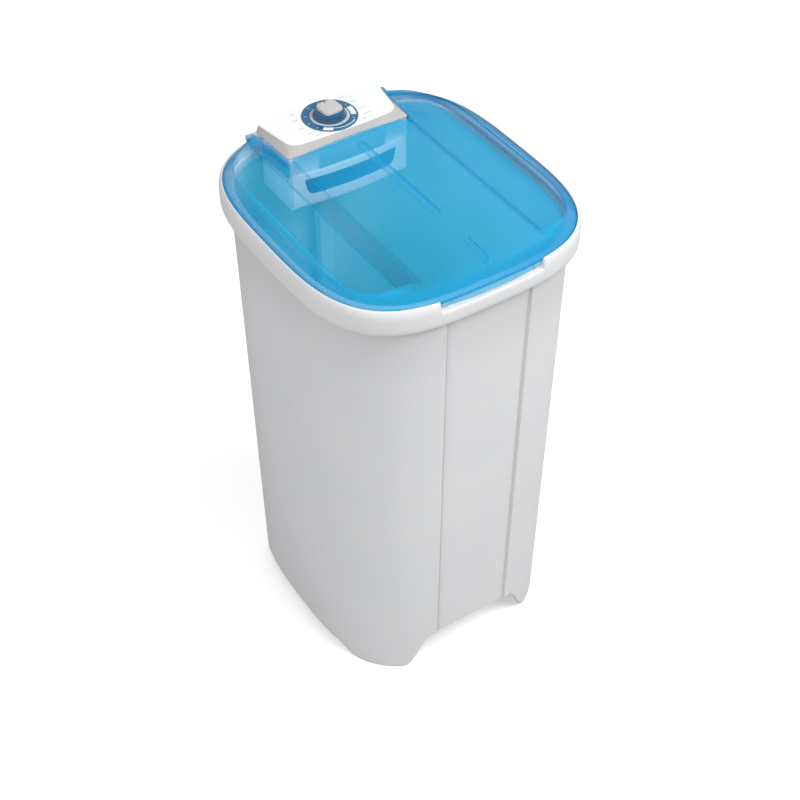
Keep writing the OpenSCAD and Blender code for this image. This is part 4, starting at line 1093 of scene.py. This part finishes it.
class Lid(Builder):
    """Translucent lid: sloping edge, low side wings, domed middle and a lifting tab."""

    def __init__(self, sizes: LidSizes, console: ConsoleSizes, paints: Paints) -> None:
        """Keep the sizes and work out the outlines."""
        super().__init__(sizes, paints)
        self.c = console
        sag = sizes.crown - sizes.crest - sizes.crown_side
        self.crown_r = (sizes.plateau**2 + sag**2) / (2 * sag)
        self.edge = Oval(sizes.half_x, sizes.half_y, sizes.power)
        self.foot = Oval(*sizes.wing_foot, sizes.wing_power)
        self.brow = Oval(*sizes.wing_top, sizes.wing_power)
        crest = self.edge.inset(sizes.slope_side, sizes.slope_front)
        self.outlines = (self.foot, self.brow, crest, self.edge)
        self.keep_out = self.brow.inset(-2.0)
        self.depths = LidDepths()

    def mound(self, x: float, y: float) -> float:
        """Height of the sloping edge over a point, found by halving."""
        s = self.s
        rise = s.crest - s.edge
        low, high = 0.0, 60.0
        for _ in range(22):
            h = (low + high) / 2
            if self.edge.inset(s.slope_side * h / rise, s.slope_front * h / rise).reach(x, y) < 1.0:
                low = h
            else:
                high = h
        return s.edge + low

    def height(self, x: float, y: float) -> float:
        """Height of the lid's upper face."""
        s = self.s
        slope = self.mound(x, y)
        u = abs(x)
        crown = s.crown - u * u / (2 * self.crown_r)
        middle = mix(crown, s.crest, smooth_step((u - s.plateau) / s.join + 0.5))
        top = min(slope, middle)
        near = s.join - abs(slope - middle)
        if near > 0.0:
            top -= near**2 / (4.0 * s.join)
        if u > s.plateau - s.join:
            ramp = s.wing_floor + max(0.0, (s.plateau + s.ramp - u) * (s.crest - s.wing_floor) / s.ramp)
            past, short = self.foot.reach(x, y) - 1.0, 1.0 - self.brow.reach(x, y)
            wall = 0.0
            if past > 0.0:
                wall = 60.0 if short <= 0.0001 else past / (past + short) * (top - s.wing_floor)
            top = min(top, max(ramp, s.wing_floor + wall))
        for groove in (s.groove, s.short_groove):
            top -= s.groove_deep * smooth_step(0.5 - self.groove_distance(x, y, groove) / s.groove_edge)
        return top

    def on_outline(self, knot: int, u: float, v: float, beyond: float) -> Point:
        """Point of a net line on one outline, in the first quadrant.

        Args:
            knot: 0 for the straight core, 1 to 4 for the outlines from the wing's foot to the edge.
            u: Size of the net coordinate across.
            v: Size of the net coordinate along.
            beyond: How far outside the core the net point lies.

        Returns:
            The point in plan.
        """
        s = self.s
        if knot == 0:
            return s.core[0] * min(1.0, u), s.core[1] * min(1.0, v)
        oval = self.outlines[knot - 1]
        corner = 0.5 ** (1.0 / oval.power)
        at_front = v >= u
        core, half = (s.core[0], oval.half_x) if at_front else (s.core[1], oval.half_y)
        along = min(u, v)
        run = core * along if along <= 1.0 else mix(core, half * corner, (along - 1.0) / beyond)
        x, y = (run, oval.depth(run)) if at_front else (oval.width(run), run)
        if knot == 3:
            share = self.keep_out.reach(x, y)
            if share < 1.0:
                x, y = x / share, y / share
        return x, y

    def plan(self, u: float, v: float) -> Point:
        """Plan position of a net point; past 1, u and v count 1 plus the outline's knot."""
        beyond = max(abs(u), abs(v), 1.0) - 1.0
        whole = min(3, int(beyond))
        part = beyond - whole
        ax, ay = self.on_outline(whole, abs(u), abs(v), beyond)
        bx, by = self.on_outline(whole + 1, abs(u), abs(v), max(beyond, 1e-6))
        return math.copysign(mix(ax, bx, part), u), math.copysign(mix(ay, by, part), v)

    def lines(self) -> tuple[list[float], list[float]]:
        """Net lines across and along: shares of the core up to 1, then 1 plus the knot."""
        s = self.s
        edge, foot = s.plateau, s.plateau + s.ramp
        across = [0.0, 2.4, 3.2, 3.8, 4.4, 5.2, 5.8, 6.4, 7.1, 8.5, 14, 24, 35, 46, 58, 70, 82, 93, 100]
        across += [edge + d for d in (-2.5, -1.5, -0.8, 0, 0.8, 1.5, 3, 7, 12, 16)]
        across += [foot + d for d in (-2.5, -1.4, -0.6, 0, 0.6, 1.4, 2.5, 7, 14, 22)]
        along = [0.0, 12, 24, 36, 48, 60, 72, 84, 96]
        along += [102 + 1.2 * i for i in range(12)] + [120, 130, 140, 150, 165, s.core[1]]
        knots = [0.03, 0.06, 0.1, 0.15, 0.22, 0.34, 0.5, 0.7, 0.87, 0.94, 1.0, 1.15, 1.4, 1.7, 1.92, 2.0]
        knots += [2.04, 2.1, 2.25, 2.45, 2.62, 2.72, 2.78, 2.84, 2.89]
        knots += [2.95, 3.0, 3.07, 3.2, 3.4, 3.6, 3.8, 3.92, 4.0]
        out = [1.0 + k for k in knots]
        halves = [[x / s.core[0] for x in across], [y / s.core[1] for y in along]]
        return tuple([-v for v in reversed(h[1:] + out)] + h + out for h in halves)

    def sheet(self) -> Mesh:
        """The lid's sheet as one closed solid of even thickness."""
        s = self.s
        xs, ys = self.lines()
        nx, ny = len(xs) - 1, len(ys) - 1
        bm = bmesh.new()
        bmesh.ops.create_grid(bm, x_segments=nx, y_segments=ny, size=1.0)
        for vert in bm.verts:
            u = xs[round((vert.co.x + 1.0) / 2.0 * nx)]
            v = ys[round((vert.co.y + 1.0) / 2.0 * ny)]
            x, y = self.plan(u, v)
            vert.co = Vector((x, y, self.height(x, y))) * MM
        bm.normal_update()
        upper = bm.faces[:]
        rim = [e for e in bm.edges if e.is_boundary]
        copy = bmesh.ops.duplicate(bm, geom=bm.verts[:] + bm.edges[:] + upper)
        lower = [f for f in copy["geom"] if isinstance(f, Face)]
        twins = copy["vert_map"]
        for vert in {v for f in upper for v in f.verts}:
            twins[vert].co = vert.co - vert.normal * s.sheet * MM
        low_rim = [e for e in bm.edges if e.is_boundary and e not in set(rim)]
        for vert in {v for e in low_rim for v in e.verts}:
            vert.co.z = s.low * MM
        for vert in {v for e in rim for v in e.verts}:
            twin = twins[vert]
            twin.co.x, twin.co.y = vert.co.x * s.low_share, vert.co.y * s.low_share
        bmesh.ops.reverse_faces(bm, faces=lower)
        bmesh.ops.bridge_loops(bm, edges=rim + low_rim)
        return bm

    def cutters(self) -> list[Mesh]:
        """Upright prisms of the console's place and of all that lies behind the hinge."""
        line = console_line(self.c, self.s.flange_gap, self.s.flange_back + 60.0)
        well = loft([[(x, y, z) for x, y in line] for z in (800.0, 920.0)])
        return [well, bevelled_box((-260, self.s.back, 800), (260, 300, 920))]

    def flange(self) -> Mesh:
        """Upright band round the console's place."""
        s = self.s
        inner = console_line(self.c, s.flange_gap, s.flange_back)
        outer = console_line(self.c, s.flange_gap + s.sheet, s.flange_back)
        rings = []
        for (ax, ay), (bx, by) in zip(inner, outer):
            top = max(self.height(bx, by) - 0.6, s.flange_top)
            rings.append([(ax, ay, s.flange_low), (bx, by, s.flange_low), (bx, by, top), (ax, ay, top)])
        return loft(rings)

    def tab(self) -> Mesh:
        """Curved lip under the front edge, for lifting."""
        s = self.s
        rings = []
        top = s.edge - 0.2
        for i in range(41):
            x = s.notch_half * (2 * i / 40 - 1) * s.tab_share
            out = s.tab_out * (1 - (x / s.notch_half) ** 2)
            front, back = -self.edge.depth(x) - out, -self.edge.depth(x) + 3.0
            corners = [(back, s.tab_low, 0), (front, s.tab_low, 1.4), (front, top, 1.8), (back, top, 0)]
            rings.append([(x, y, z) for y, z in round_corners(corners, False, 3)])
        return loft(rings)

    def ear(self, side: int) -> Mesh:
        """One hinge ear: a round eye on an arm that ends in the sheet."""
        s = self.s
        y0, z0 = s.hinge
        root, low, high = s.ear_root
        r = s.ear_radius
        shape = [(root, low), (y0 - r, low)]
        shape += [(y0 + r * math.sin(a), z0 - r * math.cos(a)) for a in [math.pi * k / 12 for k in range(13)]]
        shape += [(y0 - r, high), (root, high)]
        return loft([[(side * x, y, z) for y, z in shape] for x in s.ear])

    def build(self) -> None:
        """Make the lid with its flange, tab and hinge ears."""
        piece = self.piece("lid_shell", self.sheet(), Slot.LID)
        carve(piece, self.cutters(), folded=True)
        rework(piece, 30.0, (self.flange(), self.tab(), self.ear(-1), self.ear(1)))
        # The stored depth includes painted shade to the right and painted light to the left.
        mark(piece, "depth", self.tint)
        enrol(piece, Body.LID, ("lid",))

    def groove_distance(self, x: float, y: float, groove: Triple) -> float:
        """Distance of a point from a groove's outline, below 0 inside it."""
        start, end, half = groove
        along = max(start + half - y, 0.0, y - end + half)
        return math.hypot(x, along) - half

    def tint(self, co: Vector) -> float:
        """How deep the plastic looks at a point, with painted shade to the right and painted light to the
        left.

        Args:
            co: The point in millimetres.

        Returns:
            0 on the sheet, 1 on sharp edges, below 0 on hidden walls.
        """
        s, d = self.s, self.depths
        x, y, z = co
        if abs(x) < 120.5 and y > 130.0 and z < s.flange_top + 0.5:
            return HIDDEN if abs(x) < 112.5 else d.flange
        if abs(x) < s.notch_half and y < 0.0 and z < s.edge - 0.1:
            return d.tab
        if z < s.edge + 0.3:
            return 1.0
        foot, brow = self.foot.reach(x, y), self.brow.reach(x, y)
        in_wing = abs(x) > s.plateau - 1.0
        if in_wing and foot > 0.999 and brow < 0.998:
            return HIDDEN
        deep = d.slope * smooth_step((s.crest - self.mound(x, y)) / 8.0)
        floor, line = d.groove
        for groove in (s.groove, s.short_groove):
            off = self.groove_distance(x, y, groove)
            deep = max(deep, 1.0 - abs(off) / line, floor if off < 0.0 else 0.0)
        if in_wing:
            at_side, at_front, fall = d.brow
            peak = at_side if abs(y) < s.wing_foot[1] - 10.0 else at_front
            deep = max(deep, peak - abs(brow - 1.0) * fall)
        if foot < 1.0:
            line = d.ramp_line[0 if x < 0.0 else 1]
            for peak, start in zip(d.ramp, (s.plateau + s.ramp, s.plateau)):
                deep = max(deep, peak - abs(abs(x) - start) / line)
        # Painted shade and light: the blue deepens towards the right and pales towards the left.
        right, left = smooth_step((x + 20.0) / 150.0), smooth_step(-x / 180.0)
        return min(1.0, deep + d.right * right - d.left * left)


class Console(Builder):
    """Control panel, dial, knob and washing-powder drawer."""

    def __init__(self, sizes: ConsoleSizes, rim: Oval, paints: Paints) -> None:
        """Keep the sizes, the rim's outline and the materials."""
        super().__init__(sizes, paints)
        self.rim = rim

    def panel_ring(
        self, front: float, side: float, rear: float, back: float, radius: float, z: float
    ) -> Ring:
        """Loop of the panel at a height.

        Args:
            front: Inset of the front edge.
            side: Inset of the two sides at the front.
            rear: Inset of the two sides at the back.
            back: Inset of the back edge.
            radius: Rounding of the two front corners.
            z: Height.

        Returns:
            The loop, from the middle of the front round the right side.
        """
        c = self.s
        half_f, half_b = c.half_front - side, c.half_back - rear
        y_front = c.front + front
        behind = self.rim.inset(c.back_gap + back)
        slope = (half_b - half_f) / (c.back - y_front)
        reach = half_f - radius

        def front_y(x: float) -> float:
            """The bowed front edge."""
            return y_front - c.bow * (1 - (x / half_f) ** 2)

        half = [(reach * k / 16, front_y(reach * k / 16)) for k in range(16)]
        end = Vector((half_f + slope * radius, y_front + radius))
        half += arc(Vector((reach, front_y(reach))), Vector((half_f, y_front)), end, 10)
        for k in range(1, 9):
            y = mix(end.y, behind.depth(half_b) - 2.0, k / 8)
            half.append((half_f + slope * (y - y_front), y))
        half += [(x, behind.depth(x)) for x in [(half_b - 1.5) * (1 - k / 20) for k in range(20)]]
        half.append((0.0, behind.depth(0.0)))
        left = [(-x, y) for x, y in reversed(half[1:-1])]
        return [(x, y, z) for x, y in half + left]

    def build_panel(self) -> None:
        """Control panel: grey sloping edge and a white printed top."""
        top, low = self.s.top, self.s.low
        rows = [
            (3.0, 3.0, 3.0, 1.0, 2.0, low), (0.5, 0.5, 0.5, 0.0, 2.5, low),
            (0.0, 0.0, 0.0, 0.0, 3.0, low + 0.6), (0.15, 0.15, 0.1, 0.0, 3.6, low + 1.6),
            (5.4, 6.2, 1.6, 0.8, 11.0, low + 6.0), (11.4, 13.2, 3.4, 1.6, 18.5, top - 1.2),
            (12.2, 14.2, 3.7, 1.8, 20.0, top - 0.5), (13.2, 15.2, 4.0, 2.1, 21.5, top - 0.1),
            (14.2, 16.4, 4.4, 2.6, 22.0, top), (16.0, 18.0, 5.4, 4.0, 22.0, top),
        ]
        bm = loft([self.panel_ring(*row) for row in rows], [1] * 6 + [0] * 4)
        piece = self.piece("control_cover", bm, Slot.PANEL, "bevel_grey", angle=20.0)
        enrol(piece, Body.BASE, ("control_panel",))

    def build_ticks(self) -> None:
        """Plain ticks printed round the dial."""
        c = self.s
        bm = bmesh.new()
        for turn, radius, run in c.ticks:
            x = c.dial[0] + radius * math.cos(math.radians(turn))
            y = c.dial[1] + radius * math.sin(math.radians(turn))
            low = (x - run / 2, y - c.tick_half, c.top - 0.5)
            absorb(bm, bevelled_box(low, (x + run / 2, y + c.tick_half, c.top + 0.08)))
        enrol(self.piece("dial_ticks", bm, "print_grey"), Body.BASE)

    def build_dial(self) -> None:
        """Printed ring and grey inlay under the knob."""
        c = self.s
        inner, outer = c.ring
        low, top, near = c.top, c.top + c.ring_t, inner - 0.02
        ring = [
            (inner, low), (outer - 0.1, low), (outer, low + 0.3), (outer - 0.5, top),
            (inner + 0.2, top), (inner, top - 0.2),
        ]
        inlay = [
            (c.inlay_bore, low), (near, low), (near, top - 0.25), (inner - 0.4, top - 0.05),
            (inner - 3.0, top - 0.1), (c.inlay_bore, top - 0.1),
        ]
        band = self.piece("dial_band", spin_profile(ring, c.dial, 128), Slot.DIAL)
        disc = self.piece("dial_disc", spin_profile(inlay, c.dial, 96), "inlay_grey")
        enrol(band, Body.BASE, ("dial_ring",))
        enrol(disc, Body.BASE, ("dial_inlay",))

    def build_knob(self) -> None:
        """Round base with hollow sides and the rounded square grip with its pointer."""
        c = self.s
        low, seam, top = c.knob_low, c.knob_seam, c.grip_top
        base = [
            (0.0, low), (26.6, low), (27.5, low + 0.6), (27.5, low + 1.6), (26.6, low + 3.0),
            (25.7, low + 5.4), (25.0, low + 8.0), (24.5, low + 10.2), (24.1, seam - 0.2), (23.6, seam),
            (0.0, seam),
        ]
        turn = Matrix.Rotation(math.radians(c.grip_turn), 2)
        square = Oval(c.grip_half, c.grip_half, c.grip_power)
        rings = []
        for inset, z in (
            (0.8, seam), (0.1, seam + 0.4), (0.0, seam + 1.0), (0.5, top - 2.0), (0.9, top - 1.0),
            (1.6, top - 0.35), (2.7, top), (6.0, top - 0.05), (12.0, top - 0.15),
        ):
            oval = square.inset(inset)
            spots = [turn @ Vector(oval.point(math.tau * k / 96)) for k in range(96)]
            rings.append([(c.dial[0] + p.x, c.dial[1] + p.y, z) for p in spots])
        half, near, far = c.pointer
        pointer = bevelled_box((-half, near, top - 1.0), (half, far, top + 0.03), 0.3)
        move(pointer, c.grip_turn, "Z", (*c.dial, 0.0))
        for name, bm, slot, replaced in (
            ("timer_base", spin_profile(base, c.dial, 96), Slot.KNOB, ("knob_base",)),
            ("timer_grip", loft(rings), Slot.GRIP, ("knob_grip",)),
            ("timer_pointer", pointer, Slot.DARK, ()),
        ):
            enrol(self.piece(name, bm, slot), Body.KNOB, replaced)

    def front_y(self, x: float) -> float:
        """The drawer's bowed front face."""
        return self.s.front - self.s.drawer_bow * (1 - (x / self.s.drawer_front_half) ** 2)

    def slot_outline(self, shrink: float) -> list[Point]:
        """The finger slot's outline, across and up."""
        c = self.s
        low, high = c.slot
        mid, tall = (low + high) / 2, (high - low) / 2
        half = c.slot_half
        corners = [
            (12.0 - half, low, 5), (half - 12.0, low, 5), (half - 4.0, low + 9, 9),
            (half, high, 2), (-half, high, 2), (4.0 - half, low + 9, 9),
        ]
        outline = round_corners(corners, True, 5)
        dense: list[Point] = []
        for here, ahead in zip(outline, outline[1:] + outline[:1]):
            cuts = max(1, round(math.dist(here, ahead) / 8.0))
            for k in range(cuts):
                dense.append((mix(here[0], ahead[0], k / cuts), mix(here[1], ahead[1], k / cuts)))
        return [(x * (1 - shrink / half), mid + (z - mid) * (1 - shrink / tall)) for x, z in dense]

    def slot_ring(self, shrink: float, y: float, follow: bool = False) -> Ring:
        """Loop of the finger slot at a place along, or as far behind the bowed front face."""
        return [(x, y + (self.front_y(x) if follow else 0.0), z) for x, z in self.slot_outline(shrink)]

    def drawer_ring(self, inset: float, z: float) -> Ring:
        """Plan loop of the drawer at a height."""
        c = self.s
        half = c.drawer_front_half - inset
        across = [half * (2 * k / 32 - 1) for k in range(33)]
        side = []
        for k in range(6):
            flare = (half - c.drawer_half) * max(0.0, 1 - k / 2)
            side.append((c.drawer_half + flare, mix(c.front + 4, c.drawer_back, k / 5)))
        outline = [(x, self.front_y(x) + inset) for x in across] + side + [(-x, y) for x, y in side[::-1]]
        return [(x, y, z) for x, y in outline]

    def build_drawer(self) -> None:
        """Drawer body with its open bin, and the deep finger cup."""
        c = self.s
        low, high = c.drawer
        rows = (
            (1.2, low), (0.3, low + 0.5), (0.0, low + 1.6), (0.0, 800.0), (0.0, 820.0),
            (0.0, high - 1.6), (0.3, high - 0.5), (1.2, high),
        )
        body = loft([self.drawer_ring(inset, z) for inset, z in rows])
        drawer = self.piece("powder_drawer", body, Slot.DRAWER)
        slot = loft([self.slot_ring(0.0, y) for y in (100.0, c.cup_end)])
        carve(drawer, [slot, bevelled_box(*c.bin, 2.0)])
        floor = c.front + c.cup_floor
        wall = [(4.5, floor), (2.6, floor - 1.0), (2.0, floor - 4.0), (1.6, 0.9, True), (1.0, 0.4, True)]
        wall += [(0.3, 0.9, True), (0.3, c.cup_end - 0.4)]
        cup = self.piece("finger_cup", loft([self.slot_ring(*row) for row in wall]), Slot.INSERT)
        enrol(drawer, Body.DRAWER, ("drawer_body",))
        enrol(cup, Body.DRAWER, ("drawer_insert",))


# Nodes that stay as CAD made them, with paints of their own.
# The cable duct under the lid takes the tub's paint, white with painted blue light.
SPECIAL = {"agitator_cap": "cap_blue", "cable_duct": "tub_white_painted_blue_light"}


def dress_nodes(paints: Paints) -> None:
    """Give every CAD node the material of its slot."""
    for part in frame["record"]["subparts"]:
        node = frame["nodes"].get(part["node"])
        if node is None:
            continue
        for place in node.material_slots:
            place.material = paints[SPECIAL.get(part["node"], Slot(part["material_slot"]))]


@dataclass(frozen=True)
class StudioSizes:
    """Places in metres, strengths and plain greys of everything outside the object.

    Attributes:
        eye: Where the camera stands.
        target: Where it looks.
        up: Its upward direction.
        lens: Focal length in millimetres.
        sensor: Width of the film in millimetres.
        aim: Where the lamps point.
        lamps: Each lamp as its name, place, size and power.
        world: Colour and strength of the light from all round.
        floor: Greys of the floor: darkest and lightest to the camera, to other rays, and its glow.
    """

    eye: Triple = (-1.0250369, -1.5749783, 2.2307431)
    target: Triple = (0.0056, 0.0, 0.4131)
    up: Triple = (0.38037, 0.58127, 0.71934)
    lens: float = 67.5
    sensor: float = 36.0
    aim: Triple = (0.0, 0.0, 0.5)
    lamps: tuple[tuple[str, Triple, float, float], ...] = (
        ("key", (1.5, -2.0, 3.6), 2.2, 119.0),
        ("left_fill", (-3.0, -1.2, 2.2), 2.0, 34.0),
    )
    world: tuple[Triple, float] = ((0.97, 0.985, 1.0), 0.595)
    floor: tuple[float, float, float, float] = (0.94, 0.95, 0.42, 0.36)


class Studio:
    """Floor, lamps, backdrop and camera."""

    def __init__(self, sizes: StudioSizes) -> None:
        """Keep the sizes and take the present scene."""
        self.s = sizes
        self.scene = bpy.context.scene

    def stand(self, name: str, data: bpy.types.ID, matrix: Matrix) -> Thing:
        """Put a camera or a lamp into the scene."""
        thing = bpy.data.objects.new(name, data)
        thing.matrix_world = matrix
        self.scene.collection.objects.link(thing)
        return thing

    def build_camera(self) -> None:
        """Camera that looks as the photo's does."""
        lens = bpy.data.cameras.new("camera")
        lens.lens = self.s.lens
        lens.sensor_width = self.s.sensor
        back = (Vector(self.s.eye) - Vector(self.s.target)).normalized()
        right = Vector(self.s.up).cross(back).normalized()
        turn = Matrix((right, back.cross(right), back)).transposed().to_4x4()
        self.scene.camera = self.stand("camera", lens, Matrix.Translation(self.s.eye) @ turn)

    def build_floor(self) -> None:
        """Plain pale floor that keeps the shadow."""
        bm = bmesh.new()
        bmesh.ops.create_grid(bm, x_segments=4, y_segments=4, size=12.0)
        dark, light, bounced, glow = ((v,) * 3 for v in self.s.floor)
        w = Coat("floor_white", bpy.data.node_groups["moulded_surface"], 4.0, (0.8, 0.9), (0.35, 0.00001))
        tone = w.blend(w.span(w.tone, 0.38, 0.62, 0.0, 1.0), dark, light)
        seen = w.light_path("Is Camera Ray")
        glow = w.blend(seen, (0.0, 0.0, 0.0), glow)
        tone = w.blend(seen, bounced, tone)
        paint = w.set_shader(Base_Color=tone, Emission_Color=glow, Emission_Strength=1.0)
        floor = to_object("floor", bm, (paint,))

    def build_light(self) -> None:
        """Even studio light, stronger from the front right, over a white backdrop."""
        for name, place, size, power in self.s.lamps:
            light = bpy.data.lights.new(name, "AREA")
            light.size = size
            light.energy = power
            ray = Vector(self.s.aim) - Vector(place)
            turn = ray.to_track_quat("-Z", "Y").to_matrix().to_4x4()
            self.stand(name, light, Matrix.Translation(place) @ turn).visible_glossy = False
        world = bpy.data.worlds.new("backdrop")
        world.use_nodes = True
        world.node_tree.nodes.clear()
        w = Wires(world.node_tree)
        seen = w.light_path("Is Camera Ray")
        for ray in ("Is Glossy Ray", "Is Transmission Ray"):
            seen = w.sum("MAXIMUM", seen, w.light_path(ray))
        shades = {0: seen}
        for i, (colour, strength) in enumerate((self.s.world, ((1.0, 1.0, 1.0), 1.0)), start=1):
            inputs = {"Color": colour, "Strength": strength}
            shades[i] = w.feed(w.add("ShaderNodeBackground"), inputs).outputs[0]
        mixed = w.feed(w.add("ShaderNodeMixShader"), shades).outputs[0]
        w.feed(w.add("ShaderNodeOutputWorld"), {0: mixed})
        self.scene.world = world

    def build(self) -> None:
        """Set up everything outside the object."""
        self.scene.view_settings.view_transform = "Standard"
        self.build_camera()
        self.build_floor()
        self.build_light()


def main() -> None:
    """Build every sub-assembly, dress the CAD nodes and set up the studio."""
    logging.basicConfig(level=logging.INFO, format="%(message)s")
    sizes = ConsoleSizes()
    paints = make_paints(sizes.dial)
    rim = Rim(RimSizes(), paints)
    Cabinet(CabinetSizes(), paints).build()
    rim.build()
    Lid(LidSizes(), sizes, paints).build()
    console = Console(sizes, rim.oval, paints)
    console.build_panel()
    console.build_ticks()
    console.build_dial()
    console.build_knob()
    console.build_drawer()
    dress_nodes(paints)
    Studio(StudioSizes()).build()


if __name__ == "__main__":
    main()
